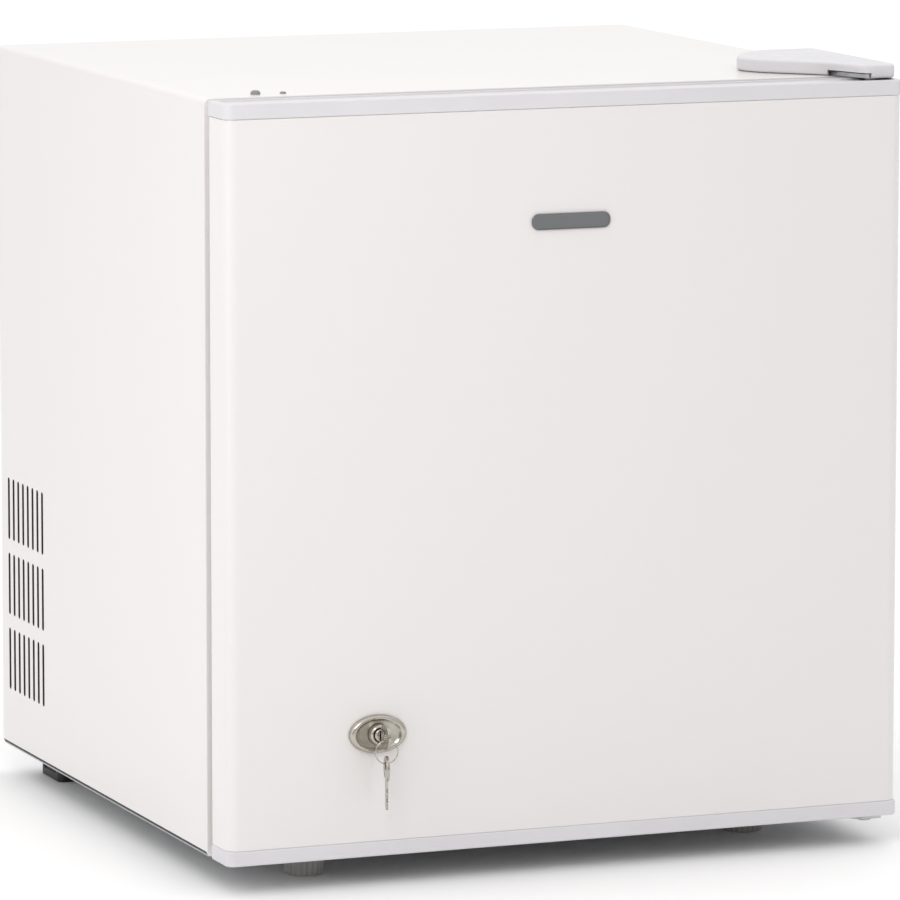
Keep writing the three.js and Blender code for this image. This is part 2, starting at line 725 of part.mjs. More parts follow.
// Plan outline of the door: round front edges, tight rear edges.
function doorOutline(inset, rear = DOOR_BACK_Y, corner = EDGE_RADIUS) {
  const side = SIDE_X - inset;
  const front = DOOR_FRONT_Y + inset;
  const shape = new THREE.Shape();
  const radius = corner - inset;
  shape.moveTo(-side, rear);
  shape.lineTo(-side, front + radius);
  shape.absarc(-side + radius, front + radius, radius, Math.PI, 1.5 * Math.PI, false);
  shape.lineTo(side - radius, front);
  shape.absarc(side - radius, front + radius, radius, 1.5 * Math.PI, 2 * Math.PI, false);
  shape.lineTo(side, rear);
  shape.closePath();
  return shape;
}

const SKIN_LOW = DOOR_LOW + CAP_HEIGHT + GAP;
const SKIN_HIGH = DOOR_HIGH - CAP_HEIGHT - GAP;
const LINER_EDGE_X = SIDE_X - 10;

function lockBore(radius) {
  return rod(radius, [LOCK.x, DOOR_FRONT_Y - 20, LOCK.z], [LOCK.x, DOOR_BACK_Y + 20, LOCK.z], 20);
}

function doorSkin() {
  const rearWindow = block([-LINER_EDGE_X, DOOR_BACK_Y - 3, 0], [LINER_EDGE_X, DOOR_BACK_Y + 10, TOP_Z]);
  return cut(
    prismZ(doorOutline(SKIN_INSET), SKIN_LOW, SKIN_HIGH, 4),
    prismZ(doorOutline(SKIN_INSET + SKIN, DOOR_BACK_Y - SKIN), SKIN_LOW - 5, SKIN_HIGH + 5, 4),
    rearWindow,
    lockBore(LOCK.barrel + 0.6),
  );
}

function pinWell(x, y, radius, low, high) {
  return rod(radius, [x, y, low], [x, y, high], 20);
}

function doorFoam() {
  const inset = SKIN_INSET + SKIN + GAP;
  const [low, high] = [SKIN_LOW + GAP, SKIN_HIGH - GAP];
  const rear = DOOR_BACK_Y - LINER - GAP;
  return cut(
    prismZ(doorOutline(inset, rear), low, high, 4),
    lockBore(LOCK.barrel + 0.6),
    pinWell(PIN.x, PIN.y, 9.6, low - 5, SKIN_LOW + 8),
    pinWell(PIN.x, PIN.y, 9.6, SKIN_HIGH - 8, high + 5),
  );
}

// Flat sheet with a raised dyke that carries the racks and reaches into the food space.
function doorLiner() {
  const { outer, inner, bottom, top, back, rim } = DYKE;
  const sheet = block(
    [-LINER_EDGE_X + GAP, DOOR_BACK_Y - LINER, SKIN_LOW],
    [LINER_EDGE_X - GAP, DOOR_BACK_Y, SKIN_HIGH],
  );
  const dyke = cut(
    prismY(rectangle(-outer, bottom, outer, top, 10), DOOR_BACK_Y - 0.5, back, 3),
    prismY(rectangle(-inner, bottom + rim, inner, top - rim, 2), DOOR_BACK_Y, back + 5, 2),
  );
  return cut(join(sheet, dyke), lockBore(LOCK.barrel + 0.6));
}

function doorGasket() {
  const { outerX, innerX, low, high, band } = GASKET;
  return prismY(
    rectangleRing(-outerX, low, outerX, high, -innerX, low + band, innerX, high - band),
    DOOR_BACK_Y + GAP,
    CABINET_FRONT_Y - GAP,
  );
}

function rectangleRing(left, bottom, right, top, innerLeft, innerBottom, innerRight, innerTop) {
  const ring = rectangle(left, bottom, right, top);
  ring.holes.push(new THREE.Path([
    new THREE.Vector2(innerLeft, innerBottom),
    new THREE.Vector2(innerLeft, innerTop),
    new THREE.Vector2(innerRight, innerTop),
    new THREE.Vector2(innerRight, innerBottom),
  ]));
  return ring;
}

// End cap: an edge lip as deep as the door, and a boss round the hinge bush.
function doorCap(low, high, bossLow, bossHigh) {
  const plate = prismZ(doorOutline(0, DOOR_BACK_Y, CAP_RADIUS), low, high, 4);
  return cut(
    join(plate, pinWell(PIN.x, PIN.y, 9, bossLow, bossHigh)),
    pinWell(PIN.x, PIN.y, 7, low - 20, high + 20),
  );
}

function doorTopCap() {
  const low = DOOR_HIGH - CAP_HEIGHT;
  return doorCap(low, DOOR_HIGH, low - 6, low + 1);
}

function doorBottomCap() {
  const high = DOOR_LOW + CAP_HEIGHT;
  return doorCap(DOOR_LOW, high, high - 1, high + 6);
}

function hingeBush(low, high) {
  return sleeve(PIN.bore, 6.7, low, high, 20).translate(PIN.x, PIN.y, 0);
}

// Open bin with a long window in its front rail.
function doorRack({ low, high, window }) {
  const { halfWidth, back, wall } = RACK;
  const bin = openBox([-halfWidth, DOOR_BACK_Y + GAP, low], [halfWidth, back, high], wall, 2);
  const [from, to] = window;
  return cut(bin, block([-halfWidth + 22, back - 5, from], [halfWidth - 22, back + 5, to]));
}

function doorBadge() {
  const { halfLength, halfHeight, z, corner, rise } = BADGE;
  return prismY(
    rectangle(-halfLength, z - halfHeight, halfLength, z + halfHeight, corner),
    DOOR_FRONT_Y - rise,
    DOOR_FRONT_Y + SKIN_INSET - GAP,
    5,
  );
}

// ---- Lock and keys ----------------------------------------------------------------------------------------

// Oval plate with a bevelled rim, dished round the barrel.
function lockEscutcheon() {
  const { halfLength, halfHeight, rise, bevel, rim, dish: deep, floor } = LOCK_PLATE;
  const back = DOOR_FRONT_Y + SKIN_INSET - GAP;
  const cone = (base, tip, height) => turned([[0, 0], [base, 0], [tip, height], [0, height]], 32)
    .scale(halfLength / halfHeight, 1, 1)
    .rotateX(Math.PI / 2)
    .translate(LOCK.x, 0, LOCK.z);
  const plate = cone(halfHeight, halfHeight - bevel, rise).translate(0, back, 0);
  const dish = cone(floor, halfHeight - rim, deep).translate(0, back - rise + deep - 0.1, 0);
  return cut(plate, dish, lockBore(LOCK.barrel + 0.3));
}

function alongLock(profile, sides) {
  return turned(profile, sides).rotateX(Math.PI / 2).translate(LOCK.x, DOOR_FRONT_Y, LOCK.z);
}

// Profiles below run along the lock: positive heights stand out of the door's face.
function lockBarrel() {
  const { barrel, bore } = LOCK;
  const rear = -DOOR_THICKNESS - 9;
  return alongLock([
    [bore, rear], [barrel, rear], [barrel, 4.6], [barrel - 1, 5.6], [bore, 6], [bore, rear],
  ], 20);
}

const KEYWAY = { halfWidth: 0.9, halfHeight: 3.2, depth: -20 };

function lockPlug() {
  const { plug } = LOCK;
  const neck = -DOOR_THICKNESS - 16.5;
  const body = alongLock([
    [0, neck - 7.5], [3, neck - 7.5], [3, neck], [plug, neck], [plug, 6.2], [plug - 1.2, 7], [0, 7],
  ], 20);
  const keyway = block(
    [LOCK.x - KEYWAY.halfWidth, DOOR_FRONT_Y - 10, LOCK.z - KEYWAY.halfHeight],
    [LOCK.x + KEYWAY.halfWidth, DOOR_FRONT_Y - KEYWAY.depth, LOCK.z + KEYWAY.halfHeight],
  );
  return cut(body, keyway);
}

function lockNut() {
  const nut = new THREE.CylinderGeometry(NUT.radius, NUT.radius, NUT.thickness, 6)
    .rotateY(Math.PI / 6)
    .translate(LOCK.x, DOOR_BACK_Y + GAP + NUT.thickness / 2, LOCK.z);
  return cut(nut, lockBore(LOCK.barrel + 0.4));
}

// Arm on the rear of the plug, which turns down behind the strike.
function lockCam() {
  const { x, z } = LOCK;
  const { depth, tail, reach, halfHeight, thickness, hole } = CAM;
  const front = DOOR_BACK_Y + depth;
  const outline = rectangle(x - tail, z - halfHeight, x + reach, z + halfHeight, halfHeight - 0.5);
  const arm = prismY(outline, front, front + thickness, 4);
  return cut(arm, rod(hole, [x, front - 5, z], [x, front + 10, z], 16));
}

// Bracket on the floor of the food space, near its front edge.
function lockStrike() {
  const [low, high] = [CAVITY.floor + GAP, CAVITY.floor + 21];
  const front = CABINET_FRONT_Y + 2.5;
  const section = outline([
    [front, low], [front + 32, low], [front + 32, low + 2],
    [front + 2, low + 2], [front + 2, high], [front, high],
  ]);
  return prismX(section, LOCK.x - 18, LOCK.x + 18);
}

// Key outline in the plane of its bow, blade downwards, with the hole at the origin.
function keyShape() {
  const { bowRadius, holeToEdge, length } = KEY;
  const bowY = holeToEdge - bowRadius;
  const tip = holeToEdge - length;
  const bladeHalf = 2.9;
  const neck = Math.asin(bladeHalf / bowRadius);
  const shape = new THREE.Shape();
  shape.moveTo(-bladeHalf, bowY - bowRadius * Math.cos(neck));
  shape.absarc(0, bowY, bowRadius, 1.5 * Math.PI - neck, -0.5 * Math.PI + neck, true);
  shape.lineTo(bladeHalf, tip + 2.5);
  shape.lineTo(0.6, tip);
  shape.lineTo(-bladeHalf + 1, tip);
  for (let notch = 0; notch < 4; notch += 1) {
    const z = tip + 3 + notch * 4;
    shape.lineTo(-bladeHalf + 0.3, z);
    shape.lineTo(-bladeHalf + 1.4, z + 2);
  }
  shape.closePath();
  const hole = new THREE.Path();
  hole.absarc(0, 0, KEY.hole, 0, 2 * Math.PI);
  shape.holes.push(hole);
  return shape;
}

function keySolid() {
  const half = KEY.thickness / 2;
  const blank = prismX(keyShape(), -half, half, 8);
  const bladeTop = KEY.holeToEdge - 2 * KEY.bowRadius;
  const shave = (from, to) => block([from, -10, -60], [to, 10, bladeTop + 2]);
  return cut(blank, shave(0.6, 5), shave(-5, -0.6));
}

const KEY_HOLE_Y = -DEPTH / 2 + KEY.bowRadius;
const RING_TOP_Z = LOCK.z - KEY.hole + RING.wire + GAP;
const RING_LOW_Z = RING_TOP_Z - 2 * RING.radius;

function keyInLock() {
  return keySolid().rotateX(Math.PI / 2).translate(LOCK.x, KEY_HOLE_Y, LOCK.z);
}

function keyRing() {
  return new THREE.TorusGeometry(RING.radius, RING.wire, 6, 28)
    .rotateX(Math.PI / 2)
    .translate(LOCK.x, KEY_HOLE_Y, RING_TOP_Z - RING.radius);
}

function spareKey() {
  return keySolid().translate(LOCK.x, KEY_HOLE_Y, RING_LOW_Z + RING.wire + GAP - KEY.hole);
}

// ---- Assembly ---------------------------------------------------------------------------------------------

place('outer_shell', outerShell(), whitePaint);
place('cabinet_foam', cabinetFoam(), foamYellow);
place('inner_liner', innerLiner(), linerPlastic);
place('back_panel', backPanel(), galvanised);
place('chamber_panel', chamberPanel(), galvanised);
place('bottom_panel', bottomPanel(), galvanised);
place('condenser_coil_left', condenserCoil(-1), copper);
place('condenser_coil_right', condenserCoil(1), copper);

place('compressor_base', compressorBase(), galvanised);
place('compressor', compressorHousing(), blackPaint);
CORNERS.forEach((corner, i) => place(`compressor_grommet_${i + 1}`, grommet(corner), blackRubber));
place('relay_cover', relayCover(), blackPlastic);
place('evaporation_tray', evaporationTray(), whitePlastic);
place('filter_drier', filterDrier(), copper);
place('discharge_tube', dischargeTube(), copper);
place('suction_tube', suctionTube(), copper);
place('cable_gland', cableGland(), blackRubber);

place('front_foot_left', frontFoot(FRONT_FOOT.left), greyPlastic);
place('front_foot_right', frontFoot(FRONT_FOOT.right), greyPlastic);
place('rear_foot_left', rearFoot(-1), blackPlastic);
place('rear_foot_right', rearFoot(1), blackPlastic);

place('evaporator', evaporator(), aluminium);
place('ice_box_frame', iceBoxFrame(), whitePlastic);
place('ice_box_flap', iceBoxFlap(), clearPlastic);
place('drip_tray', dripTray(), clearPlastic);
place('wire_shelf', wireShelf(), whiteWire);
place('thermostat_housing', thermostatHousing(), whitePlastic);
place('thermostat_knob', thermostatKnob(), whitePlastic);

place('top_hinge_bracket', topHingeBracket(), galvanised);
place('bottom_hinge_bracket', bottomHingeBracket(), galvanised);
TOP_SCREWS.forEach((spot, i) => {
  place(`top_hinge_screw_${i + 1}`, screw(spot, TOP_PLATE.low + TOP_PLATE.thickness, 1), galvanised);
});
BOTTOM_SCREWS.forEach((spot, i) => {
  const seat = BOTTOM_PLATE.high - BOTTOM_PLATE.thickness;
  place(`bottom_hinge_screw_${i + 1}`, screw(spot, seat, -1), galvanised);
});
place('hinge_cover', hingeCover(), whitePlastic);
SPARE_PLUGS.forEach((plug, i) => place(`spare_hinge_plug_${i + 1}`, sparePlug(plug), greyPlastic));
place('lock_strike', lockStrike(), galvanised);

place('door_skin', doorSkin(), whitePaint);
place('door_foam', doorFoam(), foamYellow);
place('door_liner', doorLiner(), linerPlastic);
place('door_gasket', doorGasket(), whiteRubber);
place('door_top_cap', doorTopCap(), whitePlastic);
place('door_bottom_cap', doorBottomCap(), whitePlastic);
place('top_hinge_bush', hingeBush(DOOR_HIGH - CAP_HEIGHT - 5, DOOR_HIGH - GAP), blackPlastic);
place('bottom_hinge_bush', hingeBush(DOOR_LOW + GAP, DOOR_LOW + CAP_HEIGHT + 5), blackPlastic);
place('bottle_rack', doorRack(BOTTLE_RACK), clearPlastic);
place('can_rack', doorRack(CAN_RACK), clearPlastic);
place('door_badge', doorBadge(), silverBadge);

place('lock_escutcheon', lockEscutcheon(), chrome);
place('lock_barrel', lockBarrel(), chrome);
place('lock_nut', lockNut(), chrome);
place('lock_plug', lockPlug(), chrome);
place('lock_cam', lockCam(), galvanised);
place('key', keyInLock(), chrome);
place('key_ring', keyRing(), chrome);
place('spare_key', spareKey(), chrome);

export default fridge;
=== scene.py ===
"""Looks of the mini fridge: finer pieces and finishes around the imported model. Metres, +Z up."""
import json
import math

import bmesh
import bpy
from mathutils import Matrix, Vector


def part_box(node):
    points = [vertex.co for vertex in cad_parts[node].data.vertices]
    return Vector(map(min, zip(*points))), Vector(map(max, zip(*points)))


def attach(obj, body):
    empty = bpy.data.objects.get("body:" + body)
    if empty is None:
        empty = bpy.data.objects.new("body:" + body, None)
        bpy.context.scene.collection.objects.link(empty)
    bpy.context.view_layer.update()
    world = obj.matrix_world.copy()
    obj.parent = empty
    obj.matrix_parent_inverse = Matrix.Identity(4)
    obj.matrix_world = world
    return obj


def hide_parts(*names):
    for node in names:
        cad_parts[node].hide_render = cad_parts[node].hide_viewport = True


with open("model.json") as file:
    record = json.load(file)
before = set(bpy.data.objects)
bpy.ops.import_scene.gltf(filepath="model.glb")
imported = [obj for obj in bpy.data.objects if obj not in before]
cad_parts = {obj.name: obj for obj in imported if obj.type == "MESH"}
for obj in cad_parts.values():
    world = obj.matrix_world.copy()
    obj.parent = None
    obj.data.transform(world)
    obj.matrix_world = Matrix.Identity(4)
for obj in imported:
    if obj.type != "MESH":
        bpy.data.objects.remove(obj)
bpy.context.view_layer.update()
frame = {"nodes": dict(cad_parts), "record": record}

MM = 0.001
PAST = 0.01  # How far a cutter reaches past what it cuts.
BEHAVIOUR = frame["record"]["behaviour"]
BODY = {node: body for body, nodes in BEHAVIOUR["bodies"].items() for node in nodes}


# ---- Mesh helpers --------------------------------------------------------------------------------------


def centre_of(node):
    low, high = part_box(node)
    return (low + high) / 2


def new_object(name, bm):
    mesh = bpy.data.meshes.new(name)
    bmesh.ops.recalc_face_normals(bm, faces=bm.faces)
    bm.to_mesh(mesh)
    bm.free()
    obj = bpy.data.objects.new(name, mesh)
    bpy.context.scene.collection.objects.link(obj)
    return obj


def apply_modifiers(obj):
    depsgraph = bpy.context.evaluated_depsgraph_get()
    mesh = bpy.data.meshes.new_from_object(obj.evaluated_get(depsgraph))
    old = obj.data
    obj.modifiers.clear()
    obj.data = mesh
    bpy.data.meshes.remove(old)
    return obj


def soften(obj, width, segments=2, angle=32):
    """Rounds off every edge sharper than the angle, and shades the rest smooth with flat faces kept flat."""
    if width:
        bevel = obj.modifiers.new("edges", "BEVEL")
        bevel.width = width
        bevel.segments = segments
        bevel.limit_method = "ANGLE"
        bevel.angle_limit = math.radians(angle)
        bevel.use_clamp_overlap = True
        apply_modifiers(obj)
    obj.data.shade_smooth()
    obj.data.set_sharp_from_angle(angle=math.radians(angle))
    normals = obj.modifiers.new("normals", "WEIGHTED_NORMAL")
    normals.keep_sharp = True
    normals.weight = 100
    return apply_modifiers(obj)


def finish(obj, material, node, hide=True):
    """Gives the piece its material and body, and lets it stand for the node."""
    obj.data.materials.clear()
    obj.data.materials.append(material)
    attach(obj, BODY[node])
    if hide:
        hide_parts(node)
    return obj


def cut(obj, *tools):
    """Subtracts closed objects, and removes them."""
    for tool in tools:
        boolean = obj.modifiers.new("cut", "BOOLEAN")
        boolean.operation = "DIFFERENCE"
        boolean.solver = "EXACT"
        boolean.object = tool
        apply_modifiers(obj)
        bpy.data.objects.remove(tool)
    return obj


# With this weight, a rounded right angle is a true quarter circle.
CORNER_WEIGHT = math.sqrt(0.5)


def rounded(points, radii, steps):
    """Closed outline with each corner replaced by a curve that starts its radius away."""
    radii = radii if isinstance(radii, (list, tuple)) else [radii] * len(points)
    outline = []
    for i, (corner, radius) in enumerate(zip(points, radii)):
        corner = Vector(corner)
        if not radius:
            outline.append(corner)
            continue
        before = corner + (Vector(points[i - 1]) - corner).normalized() * radius
        after = corner + (Vector(points[(i + 1) % len(points)]) - corner).normalized() * radius
        for k in range(steps + 1):
            t = k / steps
            start, middle, end = (1 - t) ** 2, 2 * CORNER_WEIGHT * t * (1 - t), t**2
            outline.append((before * start + corner * middle + after * end) / (start + middle + end))
    return outline


def rectangle(left, low, right, high, radius=0, steps=8):
    return rounded([(left, low), (right, low), (right, high), (left, high)], radius, steps)


def circle(x, y, radius, steps=32):
    angles = [2 * math.pi * k / steps for k in range(steps)]
    return [Vector((x + radius * math.cos(a), y + radius * math.sin(a))) for a in angles]


AXES = {"z": lambda u, v, w: (u, v, w), "y": lambda u, v, w: (u, w, v), "x": lambda u, v, w: (w, u, v)}


def add_prism(bm, outline, low, high, axis):
    """Adds a closed prism: its outline is (x, y) along z, (x, z) along y, or (y, z) along x."""
    place = AXES[axis]
    lower = [bm.verts.new(place(p[0], p[1], low)) for p in outline]
    upper = [bm.verts.new(place(p[0], p[1], high)) for p in outline]
    faces = [bm.faces.new(lower), bm.faces.new(upper)]
    for i in range(len(outline)):
        j = (i + 1) % len(outline)
        faces.append(bm.faces.new((lower[i], lower[j], upper[j], upper[i])))
    bmesh.ops.recalc_face_normals(bm, faces=faces)


def prism(name, outline, low, high, axis="z"):
    bm = bmesh.new()
    add_prism(bm, outline, low, high, axis)
    return new_object(name, bm)


def add_turned(bm, profile, steps=48, centre=(0, 0, 0), axis="z", stretch=1.0):
    """Adds a body of revolution from (radius, height) points; the profile closes on the axis or on itself."""
    place = AXES[axis]
    rings = []
    for radius, height in profile:
        if radius < 1e-7:
            point = Vector(centre) + Vector(place(0, 0, height))
            rings.append([bm.verts.new(point)])
            continue
        ring = circle(0, 0, radius, steps)
        rings.append([
            bm.verts.new(Vector(centre) + Vector(place(p.x * stretch, p.y, height))) for p in ring
        ])
    pairs = list(zip(rings, rings[1:]))
    if len(rings[0]) > 1:
        pairs.append((rings[-1], rings[0]))
    faces = []
    for a, b in pairs:
        if len(a) == 1 and len(b) == 1:
            continue
        for i in range(steps):
            j = (i + 1) % steps
            quad = [a[i % len(a)], a[j % len(a)], b[j % len(b)], b[i % len(b)]]
            faces.append(bm.faces.new(list(dict.fromkeys(quad))))
    bmesh.ops.recalc_face_normals(bm, faces=faces)


def turned(name, profile, **where):
    bm = bmesh.new()
    add_turned(bm, profile, **where)
    return new_object(name, bm)


def add_sweep(bm, points, radius, sides, closed=False):
    """Adds a round bar along the points, with its ends closed."""
    points = [Vector(p) for p in points]
    count = len(points)
    tangents = []
    for i in range(count):
        after = points[(i + 1) % count] if closed or i + 1 < count else points[i]
        before = points[i - 1] if closed or i else points[i]
        tangents.append((after - before).normalized())
    normal = tangents[0].orthogonal().normalized()
    rings = []
    for point, tangent in zip(points, tangents):
        normal = (normal - tangent * normal.dot(tangent)).normalized()
        side = tangent.cross(normal)
        rings.append([
            bm.verts.new(point + normal * p.x + side * p.y) for p in circle(0, 0, radius, sides)
        ])
    faces = []
    pairs = list(zip(rings, rings[1:]))
    if closed:
        pairs.append((rings[-1], rings[0]))
    else:
        faces += [bm.faces.new(rings[0]), bm.faces.new(rings[-1])]
    for a, b in pairs:
        for i in range(sides):
            j = (i + 1) % sides
            faces.append(bm.faces.new((a[i], a[j], b[j], b[i])))
    bmesh.ops.recalc_face_normals(bm, faces=faces)


def smooth_route(points, steps):
    """Points along a Catmull-Rom curve through the given ones."""
    points = [Vector(p) for p in points]
    last = len(points) - 1
    route = []
    for i in range(last):
        p0, p1, p2, p3 = points[max(i - 1, 0)], points[i], points[i + 1], points[min(i + 2, last)]
        for k in range(steps):
            t = k / steps
            route.append(
                0.5 * (2 * p1 + (p2 - p0) * t + (2 * p0 - 5 * p1 + 4 * p2 - p3) * t**2
                       + (3 * p1 - p0 - 3 * p2 + p3) * t**3)
            )
    route.append(points[-1])
    return route


def mitred_frame(name, profile, low, high):
    """Ring along the rectangle low to high in x and z; the profile is (distance inwards, y)."""
    bm = bmesh.new()
    loops = []
    for inwards, y in profile:
        corners = [
            (low[0] + inwards, low[1] + inwards), (high[0] - inwards, low[1] + inwards),
            (high[0] - inwards, high[1] - inwards), (low[0] + inwards, high[1] - inwards),
        ]
        loops.append([bm.verts.new((x, y, z)) for x, z in corners])
    for a, b in zip(loops, loops[1:] + loops[:1]):
        for i in range(4):
            j = (i + 1) % 4
            bm.faces.new((a[i], a[j], b[j], b[i]))
    return new_object(name, bm)


def refined(node, material, width, segments=2, angle=32):
    """A copy of a CAD node with its facets merged and its edges rounded."""
    bm = bmesh.new()
    bm.from_mesh(frame["nodes"][node].data)
    bmesh.ops.remove_doubles(bm, verts=bm.verts, dist=0.002 * MM)
    bmesh.ops.dissolve_limit(bm, angle_limit=math.radians(1), verts=bm.verts, edges=bm.edges)
    obj = new_object("fine_" + node, bm)
    soften(obj, width, segments, angle)
    return finish(obj, material, node)


# ---- Materials -----------------------------------------------------------------------------------------


def linear(red, green, blue):
    """Linear colour from 8-bit display values."""
    channels = [c / 255 for c in (red, green, blue)]
    return tuple(c / 12.92 if c <= 0.04045 else ((c + 0.055) / 1.055) ** 2.4 for c in channels) + (1.0,)


def scaled(color, factor):
    return tuple(min(1.0, c * factor) for c in color[:3]) + (1.0,)


class Finish:
    """One procedural material. Its patterns are set in the object's own metres."""

    def __init__(self, name, color, roughness, metallic=0.0, **sockets):
        self.material = bpy.data.materials.new(name)
        self.material.use_nodes = True
        self.nodes = self.material.node_tree.nodes
        self.shader = self.nodes["Principled BSDF"]
        self.shader.inputs["Base Color"].default_value = color
        self.shader.inputs["Roughness"].default_value = roughness
        self.shader.inputs["Metallic"].default_value = metallic
        for key, value in sockets.items():
            self.shader.inputs[key.replace("_", " ")].default_value = value
        self.place = self.nodes.new("ShaderNodeTexCoord").outputs["Object"]

    def link(self, source, target):
        self.material.node_tree.links.new(source, target)

    def stretched(self, stretch):
        mapping = self.nodes.new("ShaderNodeMapping")
        mapping.inputs["Scale"].default_value = stretch
        self.link(self.place, mapping.inputs["Vector"])
        return mapping.outputs["Vector"]

    def noise(self, grain, detail, stretch=(1, 1, 1), distortion=0.0):
        """Noise whose grain is about that many metres."""
        node = self.nodes.new("ShaderNodeTexNoise")
        node.inputs["Scale"].default_value = 1 / grain
        node.inputs["Detail"].default_value = detail
        node.inputs["Distortion"].default_value = distortion
        self.link(self.stretched(stretch), node.inputs["Vector"])
        return node.outputs["Fac"]

    def cells(self, grain, output="Distance"):
        """Cells of about that many metres: the distance to their middles, or a colour for each."""
        node = self.nodes.new("ShaderNodeTexVoronoi")
        node.inputs["Scale"].default_value = 1 / grain
        self.link(self.place, node.inputs["Vector"])
        return node.outputs[output]

    def tint(self, source, low, high, start=0.3, end=0.7):
        """Colour that runs from one shade to another with the source."""
        ramp = self.nodes.new("ShaderNodeValToRGB")
        ramp.color_ramp.elements[0].position = start
        ramp.color_ramp.elements[0].color = low
        ramp.color_ramp.elements[1].position = end
        ramp.color_ramp.elements[1].color = high
        self.link(source, ramp.inputs["Fac"])
        self.link(ramp.outputs["Color"], self.shader.inputs["Base Color"])

    def gloss(self, source, low, high, start=0.3, end=0.7):
        """Roughness that runs from low to high with the source."""
        node = self.nodes.new("ShaderNodeMapRange")
        node.inputs["From Min"].default_value = start
        node.inputs["From Max"].default_value = end
        node.inputs["To Min"].default_value = low
        node.inputs["To Max"].default_value = high
        self.link(source, node.inputs["Value"])
        self.link(node.outputs["Result"], self.shader.inputs["Roughness"])

    def bump(self, source, depth, strength=1.0):
        node = self.nodes.new("ShaderNodeBump")
        node.inputs["Distance"].default_value = depth
        node.inputs["Strength"].default_value = strength
        self.link(source, node.inputs["Height"])
        self.link(node.outputs["Normal"], self.shader.inputs["Normal"])


def painted_steel(name, color):
    """Powder coat: faint orange peel, slight unevenness in gloss and shade."""
    coat = Finish(name, color, 0.3, Coat_Weight=0.25, Coat_Roughness=0.12)
    coat.tint(coat.noise(0.25, 2), scaled(color, 0.994), scaled(color, 1.004), 0.1, 0.9)
    coat.gloss(coat.noise(0.05, 4), 0.28, 0.34, 0.1, 0.9)
    coat.bump(coat.noise(0.0022, 2), 0.01 * MM, 0.5)
    return coat.material


def moulded_plastic(name, color, roughness):
    """Spark-eroded texture with slow colour drift and a few rubbed places."""
    coat = Finish(name, color, roughness)
    coat.tint(coat.noise(0.06, 3), scaled(color, 0.965), scaled(color, 1.015))
    coat.gloss(coat.noise(0.02, 4, distortion=0.6), roughness - 0.08, roughness + 0.08)
    coat.bump(coat.cells(0.5 * MM), 0.012 * MM, 0.6)
    return coat.material


def glossy_liner(name, color):
    coat = Finish(name, color, 0.32)
    coat.tint(coat.noise(0.12, 2), scaled(color, 0.985), scaled(color, 1.005), 0.1, 0.9)
    coat.gloss(coat.noise(0.06, 3), 0.3, 0.36, 0.1, 0.9)
    coat.bump(coat.noise(0.003, 1), 0.004 * MM, 0.4)
    return coat.material


def clear_plastic(name, color):
    coat = Finish(name, color, 0.12, Alpha=0.4)
    coat.tint(coat.noise(0.05, 3), scaled(color, 0.97), color)
    coat.gloss(coat.noise(0.015, 5), 0.1, 0.16)
    coat.bump(coat.noise(0.008, 2), 0.01 * MM, 0.4)
    return coat.material


def cut_foam(name, color):
    coat = Finish(name, color, 0.95)
    coat.tint(coat.noise(0.02, 6), scaled(color, 0.75), scaled(color, 1.1))
    coat.bump(coat.cells(1.4 * MM), 0.4 * MM)
    return coat.material


def galvanised_steel(name, color):
    """Zinc spangle: flat cells of slightly different shade and shine."""
    coat = Finish(name, color, 0.42, 0.9)
    spangle = coat.cells(7 * MM, output="Color")
    coat.tint(spangle, scaled(color, 0.9), scaled(color, 1.03), 0.1, 0.9)
    coat.gloss(coat.noise(0.004, 5), 0.32, 0.55)
    coat.bump(coat.noise(0.0012, 4), 0.01 * MM, 0.5)
    return coat.material


def enamel(name, color):
    coat = Finish(name, color, 0.35, Coat_Weight=0.3, Coat_Roughness=0.2)
    coat.tint(coat.noise(0.03, 6), scaled(color, 0.8), linear(52, 50, 48), 0.45, 0.8)
    coat.gloss(coat.noise(0.02, 5), 0.25, 0.6)
    coat.bump(coat.noise(0.002, 3), 0.03 * MM, 0.6)
    return coat.material


def moulded_rubber(name, color, roughness=0.8):
    coat = Finish(name, color, roughness)
    coat.tint(coat.noise(0.012, 5), scaled(color, 0.85), scaled(color, 1.15))
    coat.gloss(coat.noise(0.008, 4), roughness - 0.12, min(1.0, roughness + 0.08))
    coat.bump(coat.noise(0.0007, 3), 0.02 * MM, 0.7)
    return coat.material


def drawn_copper(name, color):
    """Copper tube with brown oxide in patches."""
    coat = Finish(name, color, 0.3, 1.0)
    coat.tint(coat.noise(0.015, 6, distortion=1.0), scaled(color, 0.45), color, 0.35, 0.6)
    coat.gloss(coat.noise(0.01, 5), 0.22, 0.5)
    coat.bump(coat.noise(0.0006, 2), 0.006 * MM)
    return coat.material


def brushed_metal(name, color, stretch, roughness=0.32):
    """Fine parallel brushing across the stretched direction."""
    coat = Finish(name, color, roughness, 1.0, Anisotropic=0.4)
    lines = coat.noise(0.4 * MM, 3, stretch)
    coat.tint(lines, scaled(color, 0.9), scaled(color, 1.05))
    coat.gloss(lines, roughness - 0.08, roughness + 0.1)
    coat.bump(lines, 0.006 * MM, 0.6)
    return coat.material


def polished_plate(name, color, roughness):
    """Nickel and chrome plating with hairline scratches and a little haze."""
    coat = Finish(name, color, roughness, 1.0)
    scratches = coat.noise(0.5 * MM, 6, (1, 1, 14), 1.5)
    coat.tint(coat.noise(0.004, 4), scaled(color, 0.9), color)
    coat.gloss(coat.noise(0.003, 6), roughness - 0.03, roughness + 0.14)
    coat.bump(scratches, 0.003 * MM, 0.35)
    return coat.material


